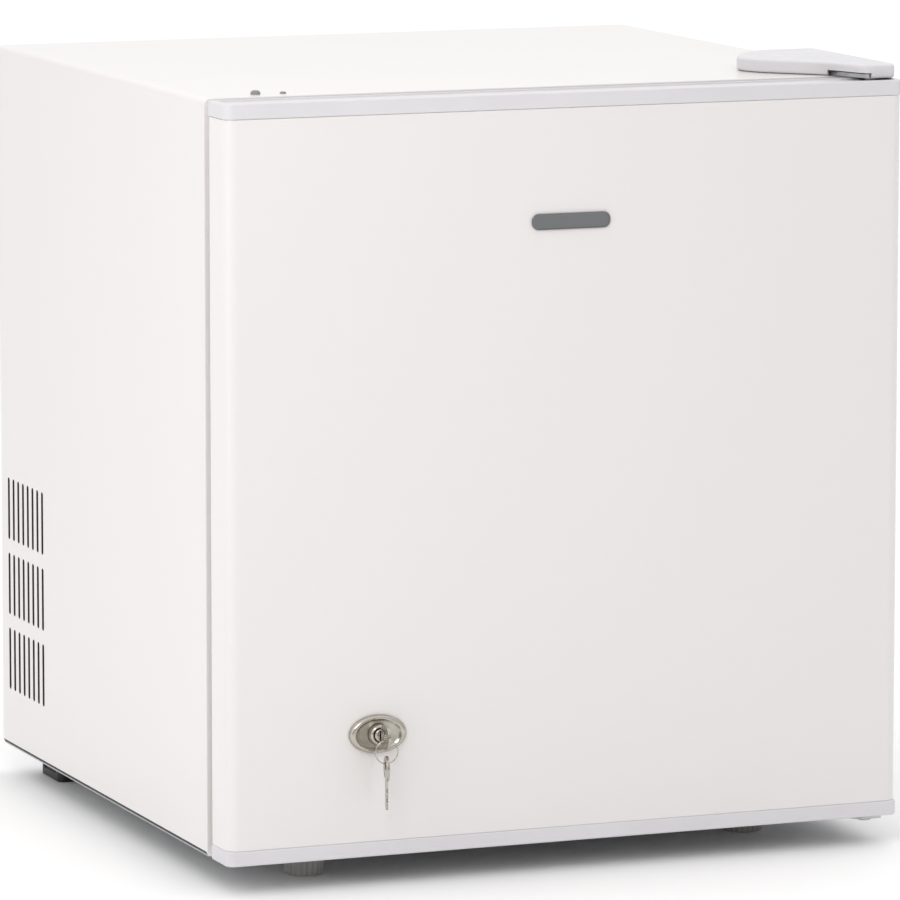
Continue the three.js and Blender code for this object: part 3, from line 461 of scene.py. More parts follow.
PAINT = painted_steel("paint_white", linear(226, 222, 221))
CAP_PLASTIC = moulded_plastic("plastic_cap_white", linear(213, 211, 214), 0.4)
LINER = glossy_liner("plastic_liner_white", linear(243, 243, 241))
CLEAR = clear_plastic("plastic_clear", linear(222, 234, 238))
FOAM = cut_foam("foam_cut", linear(226, 208, 150))
ZINC = galvanised_steel("steel_galvanised", linear(196, 198, 200))
ENAMEL = enamel("enamel_black", linear(28, 28, 29))
BLACK = moulded_plastic("plastic_black", linear(34, 34, 36), 0.5)
RUBBER = moulded_rubber("rubber_black", linear(40, 40, 40))
SEAL = moulded_plastic("seal_white", linear(240, 238, 236), 0.6)
GREY = moulded_plastic("plastic_grey", linear(160, 158, 155), 0.5)
COPPER = drawn_copper("copper_tube", linear(196, 124, 86))
ALUMINIUM = brushed_metal("aluminium_sheet", linear(206, 208, 211), (1, 30, 1))
CHROME = polished_plate("plate_chrome", linear(186, 181, 172), 0.12)
SATIN_CHROME = polished_plate("plate_satin", linear(190, 186, 176), 0.36)
WIRE = painted_steel("wire_epoxy", linear(240, 239, 236))
BADGE = brushed_metal("badge_brushed", linear(128, 129, 131), (1, 1, 40), 0.3)
# Dark grey given to the shell's insides and slot walls: painted shade, so the vents look dark.
PAINTED_SHADE = moulded_rubber("painted_shade_dark", linear(44, 44, 46), 0.7)
# Grey for the spare hinge plugs: painted shade on what is a white plug.
SHADED_PLUG_GREY = moulded_plastic("plug_painted_shade", linear(140, 138, 136), 0.6)


# ---- Door shell ----------------------------------------------------------------------------------------

EDGE_RADIUS = 8 * MM
CAP_RADIUS = 5.5 * MM


def door_plan(node, thickness=0.0):
    """Corners of the door's outline in x and y: rear left, front left, front right, rear right."""
    low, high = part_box(node)
    return [
        (low.x + thickness, high.y - thickness), (low.x + thickness, low.y + thickness),
        (high.x - thickness, low.y + thickness), (high.x - thickness, high.y - thickness),
    ]


def door_skin():
    """One sheet round the front and both sides, folded in at the back."""
    low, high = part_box("door_skin")
    sheet, fold = 1 * MM, 10 * MM
    outside = door_plan("door_skin")
    inside = door_plan("door_skin", sheet)[::-1]
    left, right = low.x + fold, high.x - fold
    points = [
        (left, high.y), *outside, (right, high.y), (right, high.y - sheet), *inside, (left, high.y - sheet),
    ]
    radius = EDGE_RADIUS - 0.4 * MM
    bend = 1.6 * MM
    outer_bends = [bend, radius, radius, bend]
    inner_bends = [bend - sheet, radius - sheet, radius - sheet, bend - sheet]
    outline = rounded(points, [0, *outer_bends, 0, 0, *inner_bends, 0], 20)
    lap = 0.25 * MM
    skin = prism("skin_of_door", outline, low.z - lap, high.z + lap)
    lock = centre_of("lock_barrel")
    cut(skin, prism("hole", circle(lock.x, lock.z, 7.2 * MM), low.y - PAST, low.y + 2 * PAST, "y"))
    return finish(soften(skin, 0.15 * MM, 1, 50), PAINT, "door_skin")


def door_cap(node, name, up):
    """End cap with a soft outer edge and a shallow sunken middle. up is 1 at the top, -1 at the bottom."""
    low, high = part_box(node)
    pin = centre_of("top_hinge_bush" if up > 0 else "bottom_hinge_bush")
    depth = 9.5 * MM
    ends = (high.z - depth, high.z) if up > 0 else (low.z, low.z + depth)
    outline = rounded(door_plan(node), [1.2 * MM, CAP_RADIUS, CAP_RADIUS, 1.2 * MM], 20)
    cap = prism(name, outline, *ends)
    soften(cap, 1.1 * MM, 4, 50)
    rim, sink = 4.5 * MM, 0.9 * MM
    inner = [
        (x + (rim if x < 0 else -rim), y + (rim if y == low.y else -rim)) for x, y in door_plan(node)
    ]
    inner_radius = CAP_RADIUS - rim
    well = rounded(inner, [2 * MM, inner_radius, inner_radius, 2 * MM], 12)
    outer_end = high.z if up > 0 else low.z
    tool = prism("tool", well, outer_end - sink, outer_end + sink)
    soften(tool, 0.5 * MM, 2, 50)
    cut(cap, tool, prism("hole", circle(pin.x, pin.y, 6.9 * MM), low.z - 2 * PAST, high.z + 2 * PAST))
    bm = bmesh.new()
    bm.from_mesh(cap.data)
    inner_end, reach = (ends[0], 6 * MM) if up > 0 else (ends[1], 0.5 * MM)
    tube_low, tube_high = inner_end - reach, inner_end + 6.5 * MM - reach
    bore, outer = 7 * MM, 9 * MM
    tube = [(bore, tube_low), (outer, tube_low), (outer, tube_high), (bore, tube_high)]
    add_turned(bm, tube, centre=(pin.x, pin.y, 0))
    bm.to_mesh(cap.data)
    bm.free()
    return finish(soften(cap, 0, angle=40), CAP_PLASTIC, node)


def door_gasket():
    """Soft bellows with a flat magnet strip against the cabinet."""
    low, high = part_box("door_gasket")
    depth = high.y - low.y
    shape = [
        (1.5, 0), (0.3, 0.12), (1.6, 0.3), (0.2, 0.48), (1.4, 0.66), (0, 0.78), (0, 0.94), (0.7, 1),
        (12.3, 1), (13, 0.94), (13, 0.78), (11.6, 0.66), (12.8, 0.48), (11.4, 0.3), (12.7, 0.12), (11.5, 0),
    ]
    profile = [(x * MM, low.y + part * depth) for x, part in shape]
    gasket = mitred_frame("gasket_of_door", profile, (low.x, low.z), (high.x, high.z))
    finish(soften(gasket, 0.12 * MM, 2, 40), SEAL, "door_gasket")


def door_badge():
    """Blank brushed plate with a fine raised rim."""
    low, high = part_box("door_badge")
    radius = (high.z - low.z) * 0.45
    plate = prism("badge_blank", rectangle(low.x, low.z, high.x, high.z, radius, 12), low.y, high.y, "y")
    soften(plate, 0.3 * MM, 3, 40)
    inset = 1 * MM
    field = rectangle(low.x + inset, low.z + inset, high.x - inset, high.z - inset, radius - inset, 12)
    cut(plate, prism("tool", field, low.y - PAST, low.y + 0.25 * MM, "y"))
    finish(soften(plate, 0, angle=40), BADGE, "door_badge")


door_skin()
door_cap("door_top_cap", "cap_top_of_door", 1)
door_cap("door_bottom_cap", "cap_bottom_of_door", -1)
door_gasket()
door_badge()


# ---- Cabinet shell and its top hinge -------------------------------------------------------------------

SHEET = 1.2 * MM


def vent_slots(low, high):
    """Cutters for the rounded slots: three blocks of eight in each side wall."""
    bm = bmesh.new()
    width, tall, across, up = 4 * MM, 41.3 * MM, 9.98 * MM, 50.4 * MM
    first = Vector((high.y - 88.5 * MM, low.z + 39.4 * MM))
    for side in (low.x, high.x):
        for row in range(3):
            for column in range(8):
                y, z = first.x + column * across, first.y + row * up
                slot = rectangle(y, z, y + width, z + tall, width * 0.49, 6)
                add_prism(bm, slot, side - 5 * MM, side + 5 * MM, "x")
    return new_object("tool", bm)


def rear_return(side, low, high):
    """Edge of the side wall, folded in behind the vents; its inside is painted dark as shade."""
    ends = sorted((side * (high.x - SHEET + 0.1 * MM), side * (high.x - 38 * MM)))
    outline = rectangle(ends[0], low.z + 0.2 * MM, ends[1], low.z + 193 * MM, 1 * MM, 3)
    sheet = prism("rear_return_" + ("left" if side < 0 else "right"), outline, high.y - 0.9 * MM, high.y, "y")
    finish(soften(sheet, 0.15 * MM, 1), PAINT, "outer_shell", hide=False)
    # Faces turned to the front take the dark grey: painted shade seen through the vents.
    sheet.data.materials.append(PAINTED_SHADE)
    for face in sheet.data.polygons:
        if face.normal.y < -0.5:
            face.material_index = 1


def outer_shell():
    low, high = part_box("outer_shell")
    outline = rectangle(low.x, low.z, high.x, high.z, 4 * MM)
    shell = prism("shell_of_cabinet", outline, low.y, high.y, "y")
    soften(shell, 0.9 * MM, 3, 60)
    inner_radius = 4 * MM - SHEET
    corners = [0, 0, inner_radius, inner_radius]
    room = rectangle(low.x + SHEET, low.z - PAST, high.x - SHEET, high.z - SHEET, corners)
    cut(shell, prism("tool", room, low.y + SHEET, high.y + PAST, "y"))
    flange = 30 * MM
    mouth = rectangle(low.x + flange, low.z + 31 * MM, high.x - flange, high.z - 31 * MM, 6 * MM, 6)
    cut(shell, prism("tool", mouth, low.y - PAST, low.y + PAST, "y"))
    cut(shell, vent_slots(low, high))
    finish(soften(shell, 0.2 * MM, 1, 55), PAINT, "outer_shell")
    # Inner faces and slot walls take the second, dark grey material: painted shade inside the vents.
    shell.data.materials.append(PAINTED_SHADE)
    centre = (low + high) / 2
    for face in shell.data.polygons:
        away = face.center - centre
        inside = away.x * face.normal.x + away.z * face.normal.z < 0
        reveal = low.x + 0.15 * MM < face.center.x < high.x - 0.15 * MM and face.center.z < high.z - 20 * MM
        if low.y + SHEET < face.center.y < high.y - SHEET and (inside or reveal):
            face.material_index = 1
    for side in (-1, 1):
        rear_return(side, low, high)


def hinge_cover():
    """Plastic cap with a soft top edge, open below, with a slot in its slanted front."""
    low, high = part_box("hinge_cover")
    wall = 1.5 * MM

    def plan(inset):
        points = [
            (high.x - inset, high.y - inset), (high.x - 41 * MM + inset / 2, high.y - inset),
            (high.x - 60 * MM + inset, high.y - 17 * MM), (high.x - 74 * MM + inset, high.y - 44 * MM),
            (high.x - 69 * MM + inset, high.y - 62 * MM + inset / 2),
            (high.x - 35 * MM + inset, low.y + 32 * MM), (high.x - 24 * MM + inset, low.y + inset),
            (high.x - 4 * MM - inset, low.y + inset), (high.x - inset, low.y + 8 * MM + inset),
        ]
        return rounded(points, [r * MM for r in (4, 9, 12, 8, 8, 10, 6, 3, 4)], 10)

    cover = prism("cover_of_hinge", plan(0), low.z, high.z)
    soften(cover, 1.6 * MM, 5, 60)
    cut(cover, prism("tool", plan(wall), low.z - PAST, high.z - wall))
    slot = rectangle(high.x - 36 * MM, low.y - PAST, high.x - 19 * MM, low.y + 31 * MM, 1 * MM, 3)
    cut(cover, prism("tool", slot, low.z - PAST, low.z + 3.4 * MM))
    finish(soften(cover, 0, angle=40), CAP_PLASTIC, "hinge_cover")


def spare_hinge_plug(node):
    """Button that closes a screw hole for a hinge on the left; its grey is painted shade on a white plug."""
    low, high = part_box(node)
    middle, radius = (low + high) / 2, (high.x - low.x) / 2
    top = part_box("outer_shell")[1].z
    rise = high.z - top
    profile = [
        (0, low.z), (1.4 * MM, low.z), (1.4 * MM, top + 0.1 * MM), (radius, top + 0.1 * MM),
        (radius, top + rise * 0.45), (radius * 0.86, top + rise * 0.75), (radius * 0.6, high.z), (0, high.z),
    ]
    plug = turned("fine_" + node, profile, centre=(middle.x, middle.y, 0))
    finish(soften(plug, 0, angle=50), SHADED_PLUG_GREY, node)


def hinge_bracket(node, name, head_up):
    """Bent plate with a rolled pin, whose riveted head shows on the far side of the plate."""
    refined(node, ZINC, 0.35 * MM)
    low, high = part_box(node)
    pin = centre_of("top_hinge_bush" if head_up else "bottom_hinge_bush")
    face = high.z if head_up else low.z
    way = 1 if head_up else -1
    profile = [
        (0, face - way * 0.2 * MM), (5 * MM, face - way * 0.2 * MM), (5 * MM, face + way * 0.5 * MM),
        (4 * MM, face + way * 1.1 * MM), (2 * MM, face + way * 1.4 * MM), (0, face + way * 1.5 * MM),
    ]
    head = turned(name, profile, centre=(pin.x, pin.y, 0))
    finish(soften(head, 0, angle=40), ZINC, node, hide=False)


def screw_head(node, up):
    """Pan head with a cross recess."""
    low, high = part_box(node)
    middle = (low + high) / 2
    radius = (high.x - low.x) / 2
    seat, top = (high.z - 1.9 * MM, high.z) if up else (low.z + 1.9 * MM, low.z)
    way = 1 if up else -1
    profile = [
        (0, seat - way * 2.5 * MM), (2.3 * MM, seat - way * 2.5 * MM), (2.3 * MM, seat), (radius, seat),
        (radius, seat + way * 0.8 * MM), (radius * 0.8, top - way * 0.3 * MM), (radius * 0.4, top), (0, top),
    ]
    head = turned("fine_" + node, profile, centre=(middle.x, middle.y, 0), steps=32)
    arm, width = 2.4 * MM, 0.55 * MM
    for long, short in ((arm, width), (width, arm)):
        slot = rectangle(middle.x - long, middle.y - short, middle.x + long, middle.y + short)
        cut(head, prism("tool", slot, *sorted((top - way * 1 * MM, top + way * PAST))))
    finish(soften(head, 0, angle=40), ZINC, node)


outer_shell()
hinge_cover()
spare_hinge_plug("spare_hinge_plug_1")
spare_hinge_plug("spare_hinge_plug_2")
hinge_bracket("top_hinge_bracket", "pin_head_top", True)
hinge_bracket("bottom_hinge_bracket", "pin_head_bottom", False)
for number in (1, 2):
    screw_head(f"top_hinge_screw_{number}", True)
    screw_head(f"bottom_hinge_screw_{number}", False)


# ---- Lock, keys and feet -------------------------------------------------------------------------------


def lock_axis():
    middle = centre_of("lock_barrel")
    return Vector((middle.x, 0, middle.z))


def escutcheon():
    """Oval plate: rolled rim, bright bevel, and a dished satin field round the barrel."""
    low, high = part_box("lock_escutcheon")
    tall, rise = (high.z - low.z) / 2, high.y - low.y
    stretch = (high.x - low.x) / (high.z - low.z)
    hole = 6.8 * MM / stretch
    shape = [
        (hole, 0), (tall, 0), (tall, 0.35), (tall - 0.5 * MM, 0.72), (tall - 1.3 * MM, 0.96),
        (tall - 2 * MM, 1), (tall - 2.6 * MM, 0.9), (tall - 3.2 * MM, 0.66), (tall - 4 * MM, 0.5),
        (hole + 0.4 * MM, 0.34), (hole, 0.34),
    ]
    profile = [(radius, high.y - part * rise) for radius, part in shape]
    axis = lock_axis()
    plate = turned("escutcheon_of_lock", profile, centre=axis, axis="y", steps=96, stretch=stretch)
    hole_tool = prism("tool", circle(axis.x, axis.z, 6.75 * MM, 64), low.y - PAST, high.y + PAST, "y")
    cut(plate, hole_tool)
    finish(soften(plate, 0, angle=45), CHROME, "lock_escutcheon")
    plate.data.materials.append(SATIN_CHROME)
    for face in plate.data.polygons:
        away = face.center - axis
        if math.hypot(away.x / stretch, away.z) < tall - 3 * MM:
            face.material_index = 1


def lock_barrel():
    """Round housing with a thread on its rear and a rolled front edge."""
    low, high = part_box("lock_barrel")
    outer, bore = (high.x - low.x) / 2, 4.35 * MM
    turns, pitch, thread = 22, 1 * MM, 24 * MM
    profile = [(bore, high.y)]
    for turn in range(turns):
        y = high.y - turn * pitch
        profile += [(outer - 0.5 * MM, y), (outer, y - pitch * 0.5)]
    profile += [
        (outer, high.y - thread), (outer, low.y + 1.6 * MM), (outer - 0.35 * MM, low.y + 0.7 * MM),
        (outer - 1 * MM, low.y + 0.2 * MM), (bore + 0.7 * MM, low.y), (bore, low.y + 0.5 * MM),
    ]
    barrel = turned("barrel_of_lock", profile, centre=lock_axis(), axis="y")
    finish(soften(barrel, 0, angle=35), CHROME, "lock_barrel")


def lock_plug():
    low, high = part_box("lock_plug")
    radius, neck, axis = 4 * MM, 3 * MM, lock_axis()
    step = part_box("lock_cam")[0].y - 0.5 * MM
    profile = [
        (0, high.y), (neck - 0.4 * MM, high.y), (neck, high.y - 0.4 * MM), (neck, step), (radius, step),
        (radius, low.y + 0.9 * MM), (radius - 0.3 * MM, low.y + 0.35 * MM), (radius - 0.9 * MM, low.y),
        (0, low.y),
    ]
    plug = turned("plug_of_lock", profile, centre=axis, axis="y")
    half, tall = 0.9 * MM, 3.2 * MM
    slot = rectangle(axis.x - half, axis.z - tall, axis.x + half, axis.z + tall)
    cut(plug, prism("tool", slot, low.y - PAST, low.y + 27 * MM, "y"))
    finish(soften(plug, 0, angle=40), CHROME, "lock_plug")


def key_outline(bow, hole_to_edge, length):
    """Half-round bow, shoulders and a notched blade that points down. The ring's hole is at the origin."""
    half = 2.9 * MM
    centre = hole_to_edge - bow
    tip = hole_to_edge - length
    neck = math.asin(half / bow)
    start, end = -math.pi / 2 + neck, 1.5 * math.pi - neck
    outline = [
        Vector((bow * math.cos(a), centre + bow * math.sin(a)))
        for a in (start + (end - start) * k / 40 for k in range(41))
    ]
    outline.append(Vector((-half, tip + 14.5 * MM)))
    for notch, depth in enumerate((1.1, 0.6, 1.4, 0.8)):
        z = tip + (13.5 - notch * 3) * MM
        outline += [
            Vector((-half, z)), Vector((-half + depth * MM, z - 0.9 * MM)),
            Vector((-half + depth * MM, z - 1.5 * MM)), Vector((-half, z - 2.4 * MM)),
        ]
    outline += [Vector((-0.4 * MM, tip)), Vector((0.8 * MM, tip)), Vector((half, tip + 2.4 * MM))]
    return outline


def key(node, name, turn):
    """Flat key with a rolled edge on its bow and a groove milled into each face of its blade.

    It sits in the lock, or hangs from the ring a little askew.
    """
    low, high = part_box(node)
    ring_low, ring_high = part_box("key_ring")
    bow, hole_to_edge, thickness = 7.85 * MM, 5.9 * MM, 1.7 * MM
    length = max(high.z - low.z, high.y - low.y) - 0.1 * MM
    blank = prism(name, key_outline(bow, hole_to_edge, length), -thickness / 2, thickness / 2, "x")
    soften(blank, 0.25 * MM, 3, 50)
    cut(blank, prism("tool", circle(0, 0, 2.5 * MM), -PAST, PAST, "x"))
    shoulder = hole_to_edge - 2 * bow + 2 * MM
    tip = hole_to_edge - length
    blade = rectangle(-PAST, tip - PAST, PAST, shoulder)
    groove = rectangle(0.4 * MM, tip - PAST, 1.3 * MM, shoulder - 1 * MM)
    rim = circle(0, hole_to_edge - bow, bow - 1.3 * MM, 48)
    for side in (-1, 1):
        blade_tool, groove_tool, dish = (
            prism("tool", outline, *sorted((side * floor, side * 5 * MM)), "x")
            for outline, floor in ((blade, 0.55 * MM), (groove, 0.3 * MM), (rim, 0.68 * MM))
        )
        cut(dish, prism("collar", circle(0, 0, 3.4 * MM), -2 * PAST, 2 * PAST, "x"))
        cut(blank, blade_tool, groove_tool, dish)
    hole_y = (ring_low.y + ring_high.y) / 2
    hole_z = lock_axis().z if turn else high.z - hole_to_edge
    pose = Matrix.Rotation(math.pi / 2, 4, "X") if turn else Matrix.Rotation(math.radians(-12), 4, "Z")
    blank.data.transform(pose)
    blank.data.transform(Matrix.Translation((lock_axis().x, hole_y, hole_z)))
    finish(soften(blank, 0, angle=40), CHROME, node)


def key_ring():
    """Split ring: one wire wound nearly twice."""
    low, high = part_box("key_ring")
    middle = (low + high) / 2
    wire = (high.y - low.y) / 4
    radius = (high.x - low.x) / 2 - wire * 1.4
    turns, steps = 1.9, 120
    points = []
    for k in range(steps + 1):
        part = k / steps
        angle = math.radians(-60) + 2 * math.pi * turns * part
        shift = wire * math.tanh((part - 0.5) * 9)
        x, z = middle.x + radius * math.cos(angle), middle.z + radius * math.sin(angle)
        points.append((x, middle.y + shift, z))
    bm = bmesh.new()
    add_sweep(bm, points, wire * 0.95, 10)
    finish(soften(new_object("ring_of_keys", bm), 0, angle=50), CHROME, "key_ring")


def lock_cam_and_nut():
    low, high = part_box("lock_nut")
    axis = lock_axis()
    nut = prism("nut_of_lock", circle(axis.x, axis.z, 10 * MM, 6), low.y, high.y, "y")
    soften(nut, 0.6 * MM, 2, 40)
    cut(nut, prism("tool", circle(axis.x, axis.z, 6.8 * MM, 40), low.y - PAST, high.y + PAST, "y"))
    finish(soften(nut, 0, angle=40), ZINC, "lock_nut")
    refined("lock_cam", ZINC, 0.3 * MM)
    refined("lock_strike", ZINC, 0.3 * MM)


escutcheon()
lock_barrel()
lock_plug()
key("key", "key_in_lock", True)
key("spare_key", "key_spare", False)
key_ring()
lock_cam_and_nut()


def front_foot(node):
    """Grip with rounded ribs under a threaded steel stud."""
    low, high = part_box(node)
    x, y = (low.x + high.x) / 2, (low.y + high.y) / 2
    radius, tall, ribs = (high.x - low.x) / 2, 15 * MM, 20
    steps = ribs * 8
    outline = []
    for k in range(steps):
        angle = 2 * math.pi * k / steps
        reach = radius - 0.9 * MM * (0.5 - 0.5 * math.cos(angle * ribs)) ** 2
        outline.append(Vector((x + reach * math.cos(angle), y + reach * math.sin(angle))))
    grip = prism("grip_of_" + node, outline, low.z, low.z + tall)
    soften(grip, 0.8 * MM, 3, 60)
    floor, roof = low.z - PAST, low.z + 1.5 * MM
    dish = [(0, floor), (radius * 0.55, floor), (radius * 0.5, roof), (0, roof)]
    cut(grip, turned("tool", dish, centre=(x, y, 0)))
    finish(soften(grip, 0, angle=40), GREY, node)
    stud, pitch = 4 * MM, 1.25 * MM
    profile = [(0, low.z + tall - 1 * MM), (stud - 0.6 * MM, low.z + tall - 1 * MM)]
    z = low.z + tall - 0.6 * MM
    while z < high.z - 2 * pitch:
        profile += [(stud - 0.6 * MM, z), (stud, z + pitch / 2)]
        z += pitch
    profile += [(stud - 0.6 * MM, z), (stud - 1 * MM, high.z), (0, high.z)]
    finish(soften(turned("stud_of_" + node, profile, centre=(x, y, 0), steps=32), 0), ZINC, node, hide=False)


def rear_foot(node):
    """Moulded block with a pocket in its outer side."""
    low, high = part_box(node)
    block = prism("block_of_" + node, rectangle(low.x, low.y, high.x, high.y, 4 * MM), low.z, high.z)
    soften(block, 0.8 * MM, 3, 50)
    outward = low.x if low.x < 0 else high.x
    pocket = rectangle(low.y + 6 * MM, low.z + 5 * MM, high.y - 6 * MM, high.z - 4 * MM, 2 * MM, 4)
    cut(block, prism("tool", pocket, outward - 1.2 * MM, outward + 1.2 * MM, "x"))
    finish(soften(block, 0, angle=40), BLACK, node)


for side in ("left", "right"):
    front_foot("front_foot_" + side)
    rear_foot("rear_foot_" + side)


# ---- Compressor bay ------------------------------------------------------------------------------------


def compressor():
    """Deep-drawn housing in two halves with a welded belt, and its mounting plate."""
    low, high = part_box("compressor")
    middle = (low + high) / 2
    radius, stretch = 49.6 * MM, 1.25
    tall = high.z - low.z
    shape = [
        (0, 0), (0.34, 0.003), (0.62, 0.025), (0.82, 0.075), (0.93, 0.16), (0.975, 0.28), (0.985, 0.42),
        (0.985, 0.5), (1.0, 0.505), (1.0, 0.53), (0.985, 0.535), (0.98, 0.62), (0.955, 0.72), (0.89, 0.82),
        (0.77, 0.9), (0.58, 0.955), (0.34, 0.985), (0.15, 0.997), (0, 1),
    ]
    profile = [(part * radius, low.z + up * tall) for part, up in shape]
    dome = turned("housing_of_compressor", profile, centre=(middle.x, middle.y, 0), steps=72, stretch=stretch)
    soften(dome, 0, angle=50)
    dome.modifiers.new("round", "SUBSURF").levels = 1
    apply_modifiers(dome)
    finish(dome, ENAMEL, "compressor")
    plate = prism(
        "plate_of_compressor", rectangle(low.x, low.y + 4 * MM, high.x, high.y - 4 * MM, 10 * MM),
        low.z, low.z + 2.5 * MM,
    )
    holes = []
    for number in range(1, 5):
        foot = centre_of(f"compressor_grommet_{number}")
        holes.append(prism("tool", circle(foot.x, foot.y, 3.6 * MM), low.z - PAST, low.z + PAST))
    cut(plate, *holes)
    finish(soften(plate, 0.5 * MM, 2), ENAMEL, "compressor", hide=False)


def grommet(node):
    low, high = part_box(node)
    middle = (low + high) / 2
    shape = [
        (3.4, 0), (8.5, 0), (9, 0.06), (9, 0.3), (8.2, 0.38), (6.5, 0.46), (6.3, 0.56), (6.5, 0.66),
        (7.8, 0.74), (8, 0.8), (8, 0.95), (7.5, 1), (3.4, 1),
    ]
    profile = [(radius * MM, low.z + part * (high.z - low.z)) for radius, part in shape]
    piece = turned("fine_" + node, profile, centre=(middle.x, middle.y, 0), steps=36)
    finish(soften(piece, 0, angle=45), RUBBER, node)


def filter_drier():
    low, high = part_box("filter_drier")
    middle = (low + high) / 2
    tall = high.z - low.z
    shape = [
        (0, 0), (2.6, 0), (3, 0.02), (3, 0.09), (4.2, 0.13), (7.5, 0.17), (9.6, 0.22), (9.7, 0.3),
        (9.2, 0.31), (9.2, 0.33), (9.7, 0.34), (9.7, 0.74), (9.2, 0.75), (9.2, 0.77), (9.7, 0.78),
        (7.5, 0.85), (3.6, 0.9), (3, 0.94), (3, 0.99), (2.6, 1), (0, 1),
    ]
    profile = [(radius * MM, low.z + part * tall) for radius, part in shape]
    drier = turned("body_of_drier", profile, centre=(middle.x, middle.y, 0), steps=40)
    finish(soften(drier, 0, angle=50), COPPER, "filter_drier")


def line(name, node, start, steps, radius, hide=True):
    """Bent copper tube. Each step is how far its next point is from the start, in mm."""
    route = [Vector(start)] + [Vector(start) + Vector(step) * MM for step in steps]
    bm = bmesh.new()
    add_sweep(bm, smooth_route(route, 10), radius, 14)
    finish(soften(new_object(name, bm), 0, angle=60), COPPER, node, hide=hide)


def bay_lines():
    """Lines from the compressor and the drier up to the chamber's ceiling."""
    low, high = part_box("discharge_tube")
    start, rise = (high.x, low.y + 3.1 * MM, low.z + 2.9 * MM), (high.z - low.z) / MM - 2.9
    steps = [(-18.5, 0, 2), (-32.5, 0, 22), (-34.5, 2, 68), (-34.5, 8, rise)]
    line("line_discharge", "discharge_tube", start, steps, 2.8 * MM)
    low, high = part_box("suction_tube")
    start, rise = (high.x, low.y + 4.2 * MM, low.z + 4 * MM), (high.z - low.z) / MM - 4
    steps = [(-22, 0, 0), (-60, 0, 8), (-74, 0, 40), (-76, 6, rise)]
    line("line_suction", "suction_tube", start, steps, 3.7 * MM)
    ceiling = high.z
    low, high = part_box("filter_drier")
    x, y = (low.x + high.x) / 2, (low.y + high.y) / 2
    rise = (ceiling - high.z) / MM + 2
    steps = [(0, 0, 12), (5, 0, 26), (6, 0, rise)]
    line("line_condenser", "filter_drier", (x, y, high.z - 2 * MM), steps, 2.4 * MM, False)
    rise = (ceiling - low.z) / MM - 2
    steps = [(0, 0, -6), (9, -2, -9), (20, -4, 0), (24, -4, 40), (22, -4, rise)]
    line("line_capillary", "filter_drier", (x, y, low.z + 2 * MM), steps, 1.3 * MM, False)


compressor()
for number in range(1, 5):
    grommet(f"compressor_grommet_{number}")
filter_drier()
bay_lines()
refined("compressor_base", ZINC, 0.3 * MM)
refined("relay_cover", BLACK, 1.2 * MM, 3)
refined("evaporation_tray", CAP_PLASTIC, 0.7 * MM, 3)
refined("chamber_panel", ZINC, 0.3 * MM)
refined("bottom_panel", ZINC, 0.3 * MM)
refined("back_panel", ZINC, 0.3 * MM)
refined("cable_gland", RUBBER, 0.5 * MM, 2)
refined("condenser_coil_left", COPPER, 0, angle=70)
refined("condenser_coil_right", COPPER, 0, angle=70)


# ---- Inside --------------------------------------------------------------------------------------------


def wire_shelf():
    """Welded rods: a rounded frame, a raised front rail and a row of thin bars, coated white."""
    low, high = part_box("wire_shelf")
    thick, thin = 2 * MM, 1.45 * MM
    z = low.z + thick
    left, right, front, back = low.x + thick, high.x - thick, low.y + thick, high.y - thick
    bm = bmesh.new()
    loop = [(p.x, p.y, z) for p in rectangle(left, front, right, back, 9 * MM)]
    add_sweep(bm, loop, thick * 0.95, 12, closed=True)
    rail_z = high.z - thick
    rise = smooth_route([
        (left, front + 10 * MM, z), (left + 1 * MM, front + 7 * MM, rail_z - 3 * MM),
        (left + 6 * MM, front + 6 * MM, rail_z), (left + 12 * MM, front + 6 * MM, rail_z),
    ], 8)
    fall = [Vector((left + right - p.x, p.y, p.z)) for p in reversed(rise)]
    add_sweep(bm, rise + fall, thick * 0.9, 12)
    y = (front + back) / 2
    add_sweep(bm, [(left, y, z - 0.2 * MM), (right, y, z - 0.2 * MM)], thick * 0.85, 12)
    bars = 12
    for number in range(1, bars + 1):
        x = left + (right - left) * number / (bars + 1)
        add_sweep(bm, [(x, front, z + 0.5 * MM), (x, back, z + 0.5 * MM)], thin, 10)
    finish(soften(new_object("grid_of_shelf", bm), 0, angle=60), WIRE, "wire_shelf")


def evaporator():
    """Roll-bonded sheet folded into a box, with the raised refrigerant channel on its outside."""
    refined("evaporator", ALUMINIUM, 0.4 * MM)
    low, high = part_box("evaporator")
    bm = bmesh.new()
    front, back, runs = low.y + 18 * MM, high.y - 16 * MM, 6
    points = []
    for run in range(runs):
        y = front + (back - front) * run / (runs - 1)
        ends = (low.x + 24 * MM, high.x - 24 * MM)
        ends = ends if run % 2 else ends[::-1]
        points += [(ends[0], y, low.z), ((ends[0] + ends[1]) / 2, y, low.z), (ends[1], y, low.z)]
    add_sweep(bm, smooth_route(points, 6), 3 * MM, 12)
    channel = new_object("channel_of_evaporator", bm)
    lift = Matrix.Translation((0, 0, low.z))
    channel.data.transform(lift @ Matrix.Scale(0.45, 4, (0, 0, 1)) @ lift.inverted())
    finish(soften(channel, 0, angle=60), ALUMINIUM, "evaporator", hide=False)


